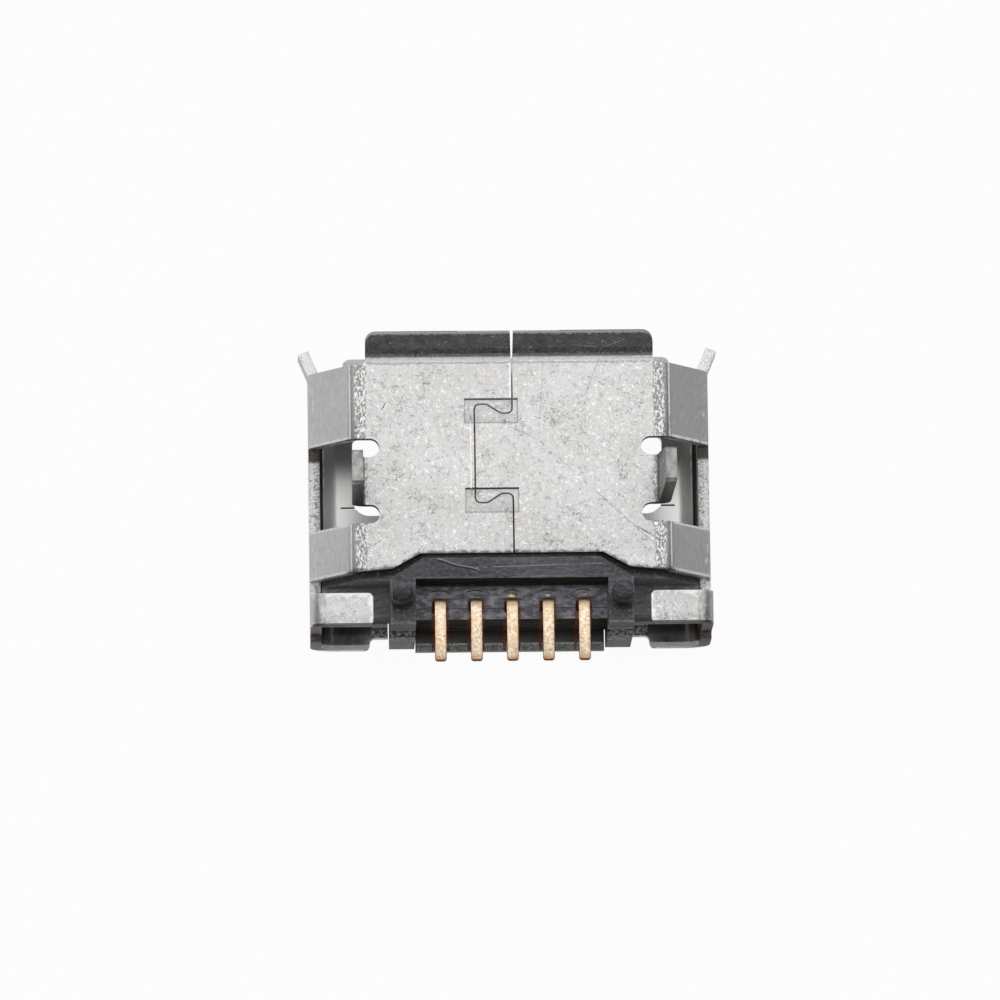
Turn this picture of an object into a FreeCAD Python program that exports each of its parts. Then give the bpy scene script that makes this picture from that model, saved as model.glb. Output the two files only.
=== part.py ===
import FreeCAD, Part
import math
import os
import Sketcher

# A surface-mount micro USB socket, lying on its wide cover wall. X runs across the mouth, +Y
# points out of the mouth and +Z towards the circuit board. All sizes are in millimetres.
# A size called a depth is a distance behind the line where the board-side wall bends into its lip.
SIZES = {
    # the shell's folded section
    "sheet": 0.20,
    "shell_width": 7.28,
    "shell_height": 2.30,
    "slope_run": 0.77,
    "slope_height": 1.00,
    "cover_radius": 0.45,
    "slope_radius": 0.25,
    "lip_root": 2.51,
    # flared lips around the mouth
    "lip_inset": 0.265,
    "lip_run": 0.43,
    "lip_rise": 0.19,
    "lip_bend": 0.15,
    "lip_corner": 0.19,
    "lip_slit": 0.08,
    "cover_lip_inset": 0.20,
    "cover_lip_run": 0.32,
    "cover_lip_dip": 0.20,
    "cover_lip_corner": 0.15,
    "side_lip_run": 0.40,
    "side_lip_out": 0.17,
    "side_lip_low": 0.50,
    "side_lip_height": 0.65,
    "side_setback": 0.10,
    # the keyed seam and its two stake marks
    "seam_gap": 0.03,
    "seam_x": 0.045,
    "key_front": 0.835,
    "key_length": 1.81,
    "key_undercut": 0.17,
    "key_reach": 0.685,
    "key_head": 0.22,
    "key_neck": 0.205,
    "key_round": 0.10,
    "stake_shift": 0.04,
    "stake_width": 0.96,
    "stake_lead": 0.09,
    "stake_length": 0.44,
    "stake_deep": 0.045,
    "stake_shallow": 0.01,
    # side windows and board legs
    "sill_height": 1.15,
    "relief_inset": 0.33,
    "relief_width": 0.34,
    "leg_front": 1.795,
    "leg_width": 0.875,
    "leg_inset": 0.20,
    "leg_bend": 0.06,
    "leg_height": 1.30,
    "leg_front_taper": 0.085,
    "leg_back_taper": 0.18,
    "leg_tip_round": 0.08,
    "left_leg_lean": 0.01,
    "right_leg_lean": 0.09,
    # rear edges of the board-side wall and of the cover wall
    "wall_gap": 0.08,
    "wall_notch_side": 0.04,
    "wall_corner_inset": 0.05,
    "wall_corner_back": 0.27,
    "slope_step": 0.06,
    "cover_tail": 0.04,
    "cover_step_side": 0.04,
    "cover_step_length": 0.26,
    # solder feet
    "foot_setback": 0.25,
    "foot_length": 0.59,
    "foot_clear": 0.31,
    "foot_radius": 0.23,
    "foot_corner": 0.10,
    "side_tail": 0.12,
    # latch windows and spring fingers in the cover wall
    "latch_inset": 0.81,
    "latch_width": 0.83,
    "latch_front": 1.08,
    "latch_length": 1.44,
    "latch_corner": 0.12,
    "latch_back_corner": 0.30,
    "latch_slit_depth": 2.36,
    "latch_slit_width": 0.04,
    "latch_slit_reach": 0.22,
    "finger_width": 0.60,
    "finger_front": 0.95,
    "finger_length": 2.05,
    "finger_slot": 0.12,
    # moulded housing
    "seat_gap": 0.02,
    "bar_front": 3.65,
    "bar_length": 0.38,
    "bar_bevel": 0.13,
    "front_wall": 0.35,
    "tongue_width": 3.65,
    "tongue_length": 2.35,
    "tongue_gap": 0.48,
    "tongue_thick": 0.60,
    "tongue_bevel": 0.14,
    "post_inside": 0.26,
    "post_outside": 0.20,
    "post_length": 0.83,
    "post_foot": 0.11,
    "post_step": 0.84,
    "post_drop": 0.15,
    "recess_depth": 0.70,
    "recess_step": 0.44,
    "recess_step_drop": 0.04,
    "recess_sill": 0.20,
    "ledge_length": 0.49,
    "ledge_height": 1.00,
    "peg_spacing": 4.00,
    "peg_setback": 0.32,
    "peg_radius": 0.20,
    "peg_height": 0.52,
    "peg_round": 0.09,
    # contacts
    "contact_pitch": 0.65,
    "contact_width": 0.21,
    "contact_thick": 0.15,
    "contact_setback": 0.25,
    "contact_seat": 0.10,
    "contact_gap": 0.02,
    "riser_setback": 0.41,
    "low_bend": 0.05,
    "high_bend": 0.08,
    "tail_reach": 0.50,
    "tail_bevel": 0.03,
}
CONTACT_COUNT = 5

doc = FreeCAD.newDocument("micro_usb_socket")
sheet = doc.addObject("Spreadsheet::Sheet", "Sizes")
for row, (alias, number) in enumerate(SIZES.items(), start=1):
    sheet.set(f"A{row}", alias)
    sheet.set(f"B{row}", str(number))
    sheet.setAlias(f"B{row}", alias)
doc.recompute()


class Size:
    """A length that knows both its value and the spreadsheet expression it comes from."""

    def __init__(self, text, value):
        self.text = text
        self.value = value

    def __add__(self, other):
        return Size(f"({self.text} + {other.text})", self.value + other.value)

    def __sub__(self, other):
        return Size(f"({self.text} - {other.text})", self.value - other.value)

    def __mul__(self, factor):
        return Size(f"({self.text} * {factor})", self.value * factor)

    def __truediv__(self, other):
        return Size(f"({self.text} / {other.text})", self.value / other.value)

    def times(self, other):
        return Size(f"({self.text} * {other.text})", self.value * other.value)


def hypotenuse(a, b):
    text = f"sqrt({a.text} * {a.text} + {b.text} * {b.text})"
    return Size(text, math.hypot(a.value, b.value))


class SheetSizes:
    """Every alias of the spreadsheet as an attribute."""

    def __init__(self, names):
        for name in names:
            setattr(self, name, Size(f"Sizes.{name}", float(sheet.get(name))))


s = SheetSizes(SIZES)
ZERO = Size("0", 0.0)
half_width = s.shell_width * 0.5
flat_half = half_width - s.slope_run
lip_half = flat_half - s.lip_inset
leg_x = flat_half - s.leg_inset
relief_x = flat_half - s.relief_inset
peg_x = s.peg_spacing * 0.5
post_inner = peg_x - s.post_inside
post_outer = peg_x + s.post_outside
foot_inner = post_outer + s.foot_clear
latch_outer = half_width - s.latch_inset
latch_inner = latch_outer - s.latch_width
bar_front_half = post_inner - s.bar_bevel

bar_back = s.bar_front + s.bar_length
housing_front = s.bar_front - s.front_wall
tongue_front = housing_front - s.tongue_length
leg_back = s.leg_front + s.leg_width
window_front = s.leg_front - s.relief_width
window_back = leg_back + s.relief_width
wall_back = s.bar_front - s.wall_gap
wall_side_back = wall_back + s.wall_corner_back
slope_back = wall_side_back + s.slope_step
foot_front = bar_back + s.foot_setback
foot_back = foot_front + s.foot_length
side_back = foot_back + s.side_tail
cover_back = side_back + s.cover_tail
ledge_back = bar_back + s.ledge_length
riser_depth = bar_back + s.riser_setback
tail_end = cover_back + s.tail_reach

cover_z = s.cover_lip_dip
board_z = cover_z + s.shell_height
slope_z = board_z - s.slope_height
sill_z = cover_z + s.sill_height
beyond_x = half_width + s.side_lip_out + s.sheet
above_z = board_z + s.leg_height
behind = tail_end


def at_depth(depth):
    """The Y of a depth behind the lip's root line."""
    return s.lip_root - depth


def tangent_half(run, rise):
    """The tangent of half the angle whose slope is rise over run."""
    return (hypotenuse(run, rise) - run) / rise


def unit(dx, dy):
    length = math.hypot(dx, dy)
    return dx / length, dy / length


def round_corner(before, corner, after, radius):
    """Where an arc of this radius leaves and meets two straight edges, and its centre."""
    ux, uy = unit(before[0] - corner[0], before[1] - corner[1])
    vx, vy = unit(after[0] - corner[0], after[1] - corner[1])
    half = math.acos(max(-1.0, min(1.0, ux * vx + uy * vy))) / 2
    reach = radius / math.tan(half)
    start = (corner[0] + ux * reach, corner[1] + uy * reach)
    end = (corner[0] + vx * reach, corner[1] + vy * reach)
    wx, wy = unit(ux + vx, uy + vy)
    away = radius / math.sin(half)
    centre = (corner[0] + wx * away, corner[1] + wy * away)
    left_turn = ux * vy - uy * vx < 0
    return start, end, centre, left_turn


def flat(point):
    return FreeCAD.Vector(point[0], point[1], 0)


def bind(sketch, name, constraint, size):
    sketch.renameConstraint(sketch.addConstraint(constraint), name)
    sketch.setExpression(f"Constraints.{name}", size.text)


def place_sketch(body, name, plane, lift):
    """An empty sketch on one of the body's own origin planes, lifted along the plane's normal."""
    sketch = body.newObject("Sketcher::SketchObject", name)
    origin = {feature.Role: feature for feature in body.Origin.OriginFeatures}
    sketch.AttachmentSupport = [(origin[plane], "")]
    sketch.MapMode = "FlatFace"
    sketch.setExpression("AttachmentOffset.Base.z", lift.text)
    return sketch


def draw_outline(body, name, plane, lift, corners):
    """A closed outline. Each corner is (x, y), or (x, y, radius) where an arc rounds it."""
    sketch = place_sketch(body, name, plane, lift)
    count = len(corners)
    points = [(corner[0].value, corner[1].value) for corner in corners]
    arcs = {}
    for i, corner in enumerate(corners):
        if len(corner) == 3:
            after = points[(i + 1) % count]
            arcs[i] = round_corner(points[i - 1], points[i], after, corner[2].value)
    for i in range(count):
        j = (i + 1) % count
        start = arcs[i][1] if i in arcs else points[i]
        end = arcs[j][0] if j in arcs else points[j]
        sketch.addGeometry(Part.LineSegment(flat(start), flat(end)), False)
    for i, corner in enumerate(corners):
        line_in = (i - 1) % count
        if i not in arcs:
            sketch.addConstraint(Sketcher.Constraint("Coincident", line_in, 2, i, 1))
            anchor = i
        else:
            start, end, centre, left_turn = arcs[i]
            first, last = (start, end) if left_turn else (end, start)
            circle = Part.Circle(flat(centre), FreeCAD.Vector(0, 0, 1), corner[2].value)
            low = math.atan2(first[1] - centre[1], first[0] - centre[0])
            high = math.atan2(last[1] - centre[1], last[0] - centre[0])
            if high < low:
                high += 2 * math.pi
            arc = sketch.addGeometry(Part.ArcOfCircle(circle, low, high), False)
            arrives, leaves = (1, 2) if left_turn else (2, 1)
            sketch.addConstraint(Sketcher.Constraint("Tangent", line_in, 2, arc, arrives))
            sketch.addConstraint(Sketcher.Constraint("Tangent", i, 1, arc, leaves))
            bind(sketch, f"round_{i}", Sketcher.Constraint("Radius", arc, corner[2].value), corner[2])
            anchor = sketch.addGeometry(Part.Point(flat(points[i])), True)
            sketch.addConstraint(Sketcher.Constraint("PointOnObject", anchor, 1, line_in))
            sketch.addConstraint(Sketcher.Constraint("PointOnObject", anchor, 1, i))
        across = Sketcher.Constraint("DistanceX", -1, 1, anchor, 1, points[i][0])
        along = Sketcher.Constraint("DistanceY", -1, 1, anchor, 1, points[i][1])
        bind(sketch, f"across_{i}", across, corner[0])
        bind(sketch, f"along_{i}", along, corner[1])
    return sketch


def draw_circles(body, name, plane, lift, circles):
    """Separate circles, each given as (x, y, radius)."""
    sketch = place_sketch(body, name, plane, lift)
    for i, (x, y, radius) in enumerate(circles):
        centre = flat((x.value, y.value))
        ring = sketch.addGeometry(Part.Circle(centre, FreeCAD.Vector(0, 0, 1), radius.value), False)
        bind(sketch, f"radius_{i}", Sketcher.Constraint("Radius", ring, radius.value), radius)
        across = Sketcher.Constraint("DistanceX", -1, 1, ring, 3, x.value)
        along = Sketcher.Constraint("DistanceY", -1, 1, ring, 3, y.value)
        bind(sketch, f"across_{i}", across, x)
        bind(sketch, f"along_{i}", along, y)
    return sketch


def grow(body, kind, name, sketch, length, both_ways=False):
    """A pad or a pocket, checked by the volume it adds or takes."""
    before = body.Shape.Volume if body.Tip else 0.0
    feature = body.newObject(kind, name)
    feature.Profile = sketch
    feature.setExpression("Length", length.text)
    if both_ways:
        feature.SideType = "Symmetric"
    doc.recompute()
    change = body.Shape.Volume - before
    wanted = 1 if kind == "PartDesign::Pad" else -1
    if change * wanted <= 0:
        raise ValueError(f"{name} changed the volume by {change:.6f}")
    return feature


def pad(body, name, sketch, length, both_ways=False):
    return grow(body, "PartDesign::Pad", name, sketch, length, both_ways)


def pocket(body, name, sketch, length, both_ways=False):
    return grow(body, "PartDesign::Pocket", name, sketch, length, both_ways)


def find_edges(shape, wanted):
    return [f"Edge{i}" for i, edge in enumerate(shape.Edges, start=1) if wanted(edge)]


def near(a, b):
    return abs(a - b) < 0.001


def fillet(body, name, base, edges, radius, kind="PartDesign::Fillet", size="Radius"):
    if not edges:
        raise ValueError(f"{name} found no edges")
    feature = body.newObject(kind, name)
    feature.Base = (base, edges)
    feature.setExpression(size, radius.text)
    doc.recompute()
    return feature


def vertical(edge, x, y=None):
    """Whether an edge runs along Z at this distance from the centre plane, and at this Y."""
    box = edge.BoundBox
    upright = box.XLength < 0.001 and box.YLength < 0.001
    return upright and near(abs(box.XMin), x) and (y is None or near(box.YMin, y))


def flared_lip(root_a, root_b, run, rise, inward):
    """Corners of a lip of the sheet bent away from its wall, from its root to its tip.

    The first coordinate runs out of the mouth and the second away from the wall's outer face.
    inward gives the sign of the second coordinate's outward direction.
    """
    slant = hypotenuse(run, rise)
    tip_a = s.sheet.times(rise) / slant
    tip_b = s.sheet.times(run) / slant
    shift = s.sheet.times(tangent_half(run, rise))
    stub = s.sheet * 2
    return [
        (root_a - stub, root_b),
        (root_a, root_b, s.lip_bend),
        (root_a + run, root_b + rise * inward),
        (root_a + run + tip_a, root_b + (rise - tip_b) * inward),
        (root_a + shift, root_b - s.sheet * inward, s.lip_bend + s.sheet),
        (root_a - stub, root_b - s.sheet * inward),
    ]


def build_tube(body):
    """The folded section, run from the lip's root to the rear edge of the cover wall."""
    section = draw_outline(body, "Section", "XZ_Plane", s.lip_root * -1, [
        (half_width * -1, cover_z, s.cover_radius),
        (half_width, cover_z, s.cover_radius),
        (half_width, slope_z, s.slope_radius),
        (flat_half, board_z, s.slope_radius),
        (flat_half * -1, board_z, s.slope_radius),
        (half_width * -1, slope_z, s.slope_radius),
    ])
    solid = pad(body, "SolidTube", section, cover_back)
    ends = []
    for i, face in enumerate(solid.Shape.Faces, start=1):
        if face.BoundBox.YLength < 0.001:
            ends.append(f"Face{i}")
    folded = body.newObject("PartDesign::Thickness", "FoldedSheet")
    folded.Base = (solid, ends)
    folded.setExpression("Value", "Sizes.sheet")
    folded.Reversed = True
    doc.recompute()


def trim_tube(body):
    """Cut back the side walls at the mouth, the board-side wall's rear edge and the cover's."""
    top = above_z
    lip_root_round = s.side_setback * 0.9
    for side, tag in ((-1, "Left"), (1, "Right")):
        setback = draw_outline(body, f"Setback{tag}", "XY_Plane", top, [
            (lip_half * side, at_depth(s.sheet * -1)),
            (beyond_x * side, at_depth(s.sheet * -1)),
            (beyond_x * side, at_depth(s.side_setback)),
            (lip_half * side, at_depth(s.side_setback), lip_root_round),
        ])
        pocket(body, f"SetbackCut{tag}", setback, top - cover_z - s.side_lip_low)
    notch_half = bar_front_half + s.wall_notch_side
    corner_half = post_outer - s.wall_corner_inset
    rear = [
        (beyond_x * -1, at_depth(slope_back)),
        (flat_half * -1, at_depth(slope_back)),
        (corner_half * -1, at_depth(wall_side_back)),
        (notch_half * -1, at_depth(wall_back)),
        (notch_half, at_depth(wall_back)),
        (corner_half, at_depth(wall_side_back)),
        (flat_half, at_depth(slope_back)),
        (beyond_x, at_depth(slope_back)),
        (beyond_x, at_depth(behind)),
        (beyond_x * -1, at_depth(behind)),
    ]
    rear_edge = draw_outline(body, "RearEdge", "XY_Plane", top, rear)
    pocket(body, "RearEdgeCut", rear_edge, top - sill_z)
    step_half = foot_inner + s.cover_step_side
    step_back = ledge_back + s.cover_step_length
    step_round = (side_back - step_back) * 0.45
    notch_front = bar_back - s.seat_gap
    for side, tag in ((-1, "Left"), (1, "Right")):
        corner = draw_outline(body, f"CoverRear{tag}", "XY_Plane", top, [
            (beyond_x * side, at_depth(side_back)),
            (step_half * side, at_depth(side_back), step_round),
            (step_half * side, at_depth(step_back), step_round),
            ((post_outer + s.seat_gap) * side, at_depth(step_back)),
            ((post_outer + s.seat_gap) * side, at_depth(notch_front)),
            ((post_inner - s.seat_gap) * side, at_depth(notch_front)),
            ((post_inner - s.seat_gap) * side, at_depth(behind)),
            (beyond_x * side, at_depth(behind)),
        ])
        pocket(body, f"CoverRearCut{tag}", corner, top)


def cut_side_windows(body):
    """The windows in the slopes that the legs were folded out of, with round relief ends."""
    length = above_z - sill_z
    reliefs = []
    for side, tag in ((-1, "Left"), (1, "Right")):
        leg_root = (leg_x - s.leg_bend) * side
        window = draw_outline(body, f"Window{tag}", "XY_Plane", above_z, [
            (relief_x * side, at_depth(window_front)),
            (beyond_x * side, at_depth(window_front)),
            (beyond_x * side, at_depth(window_back)),
            (relief_x * side, at_depth(window_back)),
            (relief_x * side, at_depth(leg_back)),
            (leg_root, at_depth(leg_back)),
            (leg_root, at_depth(s.leg_front)),
            (relief_x * side, at_depth(s.leg_front)),
        ])
        pocket(body, f"WindowCut{tag}", window, length)
        for start in (window_front, leg_back):
            middle = at_depth(start + s.relief_width * 0.5)
            reliefs.append((relief_x * side, middle, s.relief_width * 0.5))
    holes = draw_circles(body, "Reliefs", "XY_Plane", above_z, reliefs)
    pocket(body, "ReliefCut", holes, length)


def add_legs(body):
    """Two tapered legs, folded up from the board-side wall to pass through the circuit board."""
    outer = leg_x + s.sheet
    root = leg_x - s.leg_bend - s.sheet * 0.5
    tip_z = board_z + s.leg_height
    for side, tag, lean in ((-1, "Left", s.left_leg_lean), (1, "Right", s.right_leg_lean)):
        fold = draw_outline(body, f"LegFold{tag}", "XZ_Plane", at_depth(s.leg_front) * -1, [
            (root * side, board_z - s.sheet),
            (outer * side, board_z - s.sheet, s.leg_bend + s.sheet),
            ((outer + lean) * side, tip_z),
            ((leg_x + lean) * side, tip_z),
            (leg_x * side, board_z, s.leg_bend),
            (root * side, board_z),
        ])
        pad(body, f"Leg{tag}", fold, s.leg_width)
    blade_z = board_z + s.sheet
    around = s.sheet * 2
    taper = draw_outline(body, "LegTaper", "YZ_Plane", ZERO, [
        (at_depth(s.leg_front - around), blade_z),
        (at_depth(s.leg_front), blade_z),
        (at_depth(s.leg_front + s.leg_front_taper), tip_z, s.leg_tip_round),
        (at_depth(leg_back - s.leg_back_taper), tip_z, s.leg_tip_round),
        (at_depth(leg_back), blade_z),
        (at_depth(leg_back + around), blade_z),
        (at_depth(leg_back + around), tip_z + around),
        (at_depth(s.leg_front - around), tip_z + around),
    ])
    pocket(body, "LegTaperCut", taper, s.shell_width, both_ways=True)


def add_feet(body):
    """Two solder feet: the side wall rises at the rear and folds inwards at the board plane."""
    foot_low = sill_z - s.sheet
    for side, tag in ((-1, "Left"), (1, "Right")):
        inner_face = half_width - s.sheet
        foot = draw_outline(body, f"Foot{tag}", "XZ_Plane", at_depth(foot_front) * -1, [
            (half_width * side, foot_low),
            (half_width * side, board_z, s.foot_radius),
            (foot_inner * side, board_z),
            (foot_inner * side, board_z - s.sheet),
            (inner_face * side, board_z - s.sheet, s.foot_radius - s.sheet),
            (inner_face * side, foot_low),
        ])
        pad(body, f"FootFold{tag}", foot, s.foot_length)
    tip_edges = find_edges(body.Tip.Shape, lambda edge: vertical(edge, foot_inner.value))
    fillet(body, "FootCorners", body.Tip, tip_edges, s.foot_corner)


def lip_ends(lip, half, run):
    """The two edges across the sheet at the outer corners of a lip's tip."""
    tip_y = (s.lip_root + run).value

    def at_tip(edge):
        box = edge.BoundBox
        return box.XLength < 0.001 and near(abs(box.XMin), half.value) and near(box.YMin, tip_y)

    return find_edges(lip.Shape, at_tip)


def add_lips(body):
    """Lips flared outwards on all four sides of the mouth."""
    board_lip = draw_outline(
        body, "BoardLip", "YZ_Plane", ZERO,
        flared_lip(s.lip_root, board_z, s.lip_run, s.lip_rise, 1),
    )
    lip = pad(body, "BoardLipFlare", board_lip, lip_half * 2, both_ways=True)
    fillet(body, "LipCorners", lip, lip_ends(lip, lip_half, s.lip_run), s.lip_corner)
    cover_lip = draw_outline(
        body, "CoverLip", "YZ_Plane", ZERO,
        flared_lip(s.lip_root, cover_z, s.cover_lip_run, s.cover_lip_dip, -1),
    )
    cover_lip_half = half_width - s.cover_radius - s.cover_lip_inset
    lip = pad(body, "CoverLipFlare", cover_lip, cover_lip_half * 2, both_ways=True)
    ends = lip_ends(lip, cover_lip_half, s.cover_lip_run)
    fillet(body, "CoverLipCorners", lip, ends, s.cover_lip_corner)
    for side, tag in ((-1, "Left"), (1, "Right")):
        corners = []
        root_y = at_depth(s.side_setback)
        shape = flared_lip(root_y, half_width, s.side_lip_run, s.side_lip_out, 1)
        for corner in shape:
            corners.append((corner[1] * side, corner[0]) + corner[2:])
        horn = draw_outline(body, f"SideLip{tag}", "XY_Plane", cover_z + s.side_lip_low, corners)
        pad(body, f"SideLipFlare{tag}", horn, s.side_lip_height)


def open_cover(body):
    """Latch windows and two spring fingers cut in the cover wall."""
    inside = cover_z + s.sheet
    through = s.sheet * 2
    latch_back = s.latch_front + s.latch_length
    near_x = (latch_inner - s.finger_width) * 0.5
    far_x = near_x + s.finger_width
    finger_back = s.finger_front + s.finger_length
    for side, tag in ((-1, "Left"), (1, "Right")):
        latch = draw_outline(body, f"Latch{tag}", "XY_Plane", inside, [
            (latch_inner * side, at_depth(s.latch_front), s.latch_corner),
            (latch_outer * side, at_depth(s.latch_front), s.latch_corner),
            (latch_outer * side, at_depth(latch_back), s.latch_back_corner),
            (latch_inner * side, at_depth(latch_back), s.latch_corner),
        ])
        pocket(body, f"LatchCut{tag}", latch, through)
        slit_back = s.latch_slit_depth + s.latch_slit_width
        slit_outer = latch_outer + s.latch_slit_reach
        slit = draw_outline(body, f"LatchSlit{tag}", "XY_Plane", inside, [
            (latch_inner * side, at_depth(s.latch_slit_depth)),
            (slit_outer * side, at_depth(s.latch_slit_depth)),
            (slit_outer * side, at_depth(slit_back)),
            (latch_inner * side, at_depth(slit_back)),
        ])
        pocket(body, f"LatchSlitCut{tag}", slit, through)
        slot = draw_outline(body, f"FingerSlot{tag}", "XY_Plane", inside, [
            ((near_x - s.finger_slot) * side, at_depth(finger_back)),
            ((near_x - s.finger_slot) * side, at_depth(s.finger_front - s.finger_slot)),
            ((far_x + s.finger_slot) * side, at_depth(s.finger_front - s.finger_slot)),
            ((far_x + s.finger_slot) * side, at_depth(finger_back)),
            (far_x * side, at_depth(finger_back)),
            (far_x * side, at_depth(s.finger_front)),
            (near_x * side, at_depth(s.finger_front)),
            (near_x * side, at_depth(finger_back)),
        ])
        pocket(body, f"FingerCut{tag}", slot, through)


def press_stakes(body):
    """Two coined marks across the seam, deepest at their front edge."""
    stake_x = (s.seam_x - s.key_reach * 0.5) - s.stake_shift
    neck_back = s.key_front + s.key_length - s.key_undercut
    for number, wave in enumerate((s.key_front, neck_back)):
        front = wave - s.stake_lead
        back = front + s.stake_length
        mark = draw_outline(body, f"Stake{number + 1}", "YZ_Plane", stake_x, [
            (at_depth(front), board_z + s.sheet),
            (at_depth(front), board_z - s.stake_deep),
            (at_depth(back), board_z - s.stake_shallow),
            (at_depth(back), board_z + s.sheet),
        ])
        pocket(body, f"StakeMark{number + 1}", mark, s.stake_width, both_ways=True)


def offset_corners(path, distance):
    """A path's corners moved sideways by a distance, with each corner's radius to match."""
    moved = []
    for i, (x, y, radius) in enumerate(path):
        back = unit(x - path[i - 1][0], y - path[i - 1][1]) if i else None
        ahead = unit(path[i + 1][0] - x, path[i + 1][1] - y) if i + 1 < len(path) else None
        first = back or ahead
        last = ahead or back
        nx, ny = unit(-first[1] - last[1], first[0] + last[0])
        mitre = distance / (nx * -first[1] + ny * first[0])
        turn = first[0] * last[1] - first[1] * last[0]
        new_radius = radius - distance if turn > 0 else radius + distance
        moved.append((x + nx * mitre, y + ny * mitre, new_radius if radius else 0.0))
    return moved


def outline_wire(corners):
    """A closed wire of straight edges and arcs from plain numbers."""
    count = len(corners)
    ends = []
    for i, (x, y, radius) in enumerate(corners):
        if radius:
            before = corners[i - 1][:2]
            after = corners[(i + 1) % count][:2]
            start, end, centre, _ = round_corner(before, (x, y), after, radius)
            to_corner = unit(x - centre[0], y - centre[1])
            middle = (centre[0] + to_corner[0] * radius, centre[1] + to_corner[1] * radius)
            ends.append((start, middle, end))
        else:
            ends.append(((x, y), None, (x, y)))
    edges = []
    for i, (start, middle, end) in enumerate(ends):
        if middle:
            edges.append(Part.Arc(flat(start), flat(middle), flat(end)).toShape())
        edges.append(Part.LineSegment(flat(end), flat(ends[(i + 1) % count][0])).toShape())
    return Part.Wire(edges)


def seam_cutter():
    """The gap where the sheet's two edges meet, keyed so that they can't pull apart."""
    bend = s.key_round.value

    def seam_point(x, depth, radius=bend):
        return (x.value, at_depth(depth).value, radius)

    head_x = s.seam_x - s.key_reach
    crest_x = head_x + s.key_head
    neck_x = s.seam_x - s.key_neck
    key_back = s.key_front + s.key_length
    neck_front = s.key_front + s.key_undercut
    neck_back = key_back - s.key_undercut
    path = [
        seam_point(s.seam_x, s.lip_run * -2, 0.0),
        seam_point(s.seam_x, neck_front),
        seam_point(neck_x, neck_front),
        seam_point(crest_x, s.key_front),
        seam_point(head_x, s.key_front),
        seam_point(head_x, key_back),
        seam_point(crest_x, key_back),
        seam_point(neck_x, neck_back),
        seam_point(s.seam_x, neck_back),
        seam_point(s.seam_x, wall_side_back, 0.0),
    ]
    half_gap = s.seam_gap.value / 2
    right = offset_corners(path, -half_gap)
    left = offset_corners(path, half_gap)
    face = Part.Face(outline_wire(right + left[::-1]))
    lowest = board_z.value - s.sheet.value * 2
    highest = board_z.value + s.sheet.value + s.lip_rise.value
    face.translate(FreeCAD.Vector(0, 0, lowest))
    return face.extrude(FreeCAD.Vector(0, 0, highest - lowest))


def cut_lip_slit(body):
    """The seam opens into a tapered slit between the two halves of the lip."""
    outside = at_depth(s.lip_run * -2)
    slit = draw_outline(body, "LipSlit", "XY_Plane", above_z, [
        (s.seam_x - s.lip_slit * 0.5, outside),
        (s.seam_x + s.lip_slit * 0.5, outside),
        (s.seam_x + s.seam_gap * 0.5, s.lip_root),
        (s.seam_x - s.seam_gap * 0.5, s.lip_root),
    ])
    pocket(body, "LipSlitCut", slit, above_z - board_z + s.sheet * 2)


def build_shell():
    body = doc.addObject("PartDesign::Body", "ShellBlank")
    build_tube(body)
    trim_tube(body)
    cut_side_windows(body)
    add_legs(body)
    add_feet(body)
    add_lips(body)
    cut_lip_slit(body)
    open_cover(body)
    press_stakes(body)
    seam = doc.addObject("Part::Feature", "Seam")
    seam.Shape = seam_cutter()
    shell = doc.addObject("Part::Cut", "Shell")
    shell.Base = body
    shell.Tool = seam
    shell.Label = "shell"
    return shell


inner_half = half_width - s.sheet - s.seat_gap
inner_low = cover_z + s.sheet + s.seat_gap
inner_high = board_z - s.sheet - s.seat_gap
tongue_low = cover_z + s.sheet + s.tongue_gap
tongue_high = tongue_low + s.tongue_thick
recess_floor = board_z - s.recess_depth
contact_low = tongue_high - s.contact_seat
contact_high = contact_low + s.contact_thick
contact_front = tongue_front + s.contact_setback
riser_front = riser_depth - s.contact_thick * 0.5
riser_back = riser_depth + s.contact_thick * 0.5


def plan_block(body, name, low, high, corners):
    """A pad with vertical sides between two heights."""
    return pad(body, name, draw_outline(body, f"{name}Plan", "XY_Plane", low, corners), high - low)


def rectangle(x_low, x_high, front, back):
    return [
        (x_low, at_depth(front)),
        (x_high, at_depth(front)),
        (x_high, at_depth(back)),
        (x_low, at_depth(back)),
    ]


def build_front_wall(body):
    """The block that fills the shell's section behind the plug."""
    inset = s.sheet + s.seat_gap
    slope_run = half_width - flat_half
    side_top = slope_z - inset.times(tangent_half(s.slope_height, slope_run))
    top_half = flat_half - inset.times(tangent_half(slope_run, s.slope_height))
    section = draw_outline(body, "Block", "XZ_Plane", at_depth(housing_front) * -1, [
        (inner_half * -1, inner_low, s.cover_radius - s.sheet),
        (inner_half, inner_low, s.cover_radius - s.sheet),
        (inner_half, side_top),
        (top_half, inner_high),
        (top_half * -1, inner_high),
        (inner_half * -1, side_top),
    ])
    pad(body, "FrontWall", section, bar_back - housing_front)


def build_tongue(body):
    """The plate that the plug slides over, bevelled at its front edge."""
    half = s.tongue_width * 0.5
    overlap = s.seat_gap
    rear = housing_front + overlap
    tongue = plan_block(
        body, "Tongue", tongue_low, tongue_high, rectangle(half * -1, half, tongue_front, rear)
    )
    front_y = at_depth(tongue_front).value

    def front_edge(edge):
        box = edge.BoundBox
        return near(box.YMin, front_y) and near(box.YMax, front_y) and box.ZLength < 0.001

    fillet(
        body, "TongueBevel", tongue, find_edges(tongue.Shape, front_edge), s.tongue_bevel,
        kind="PartDesign::Chamfer", size="Size",
    )


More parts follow.
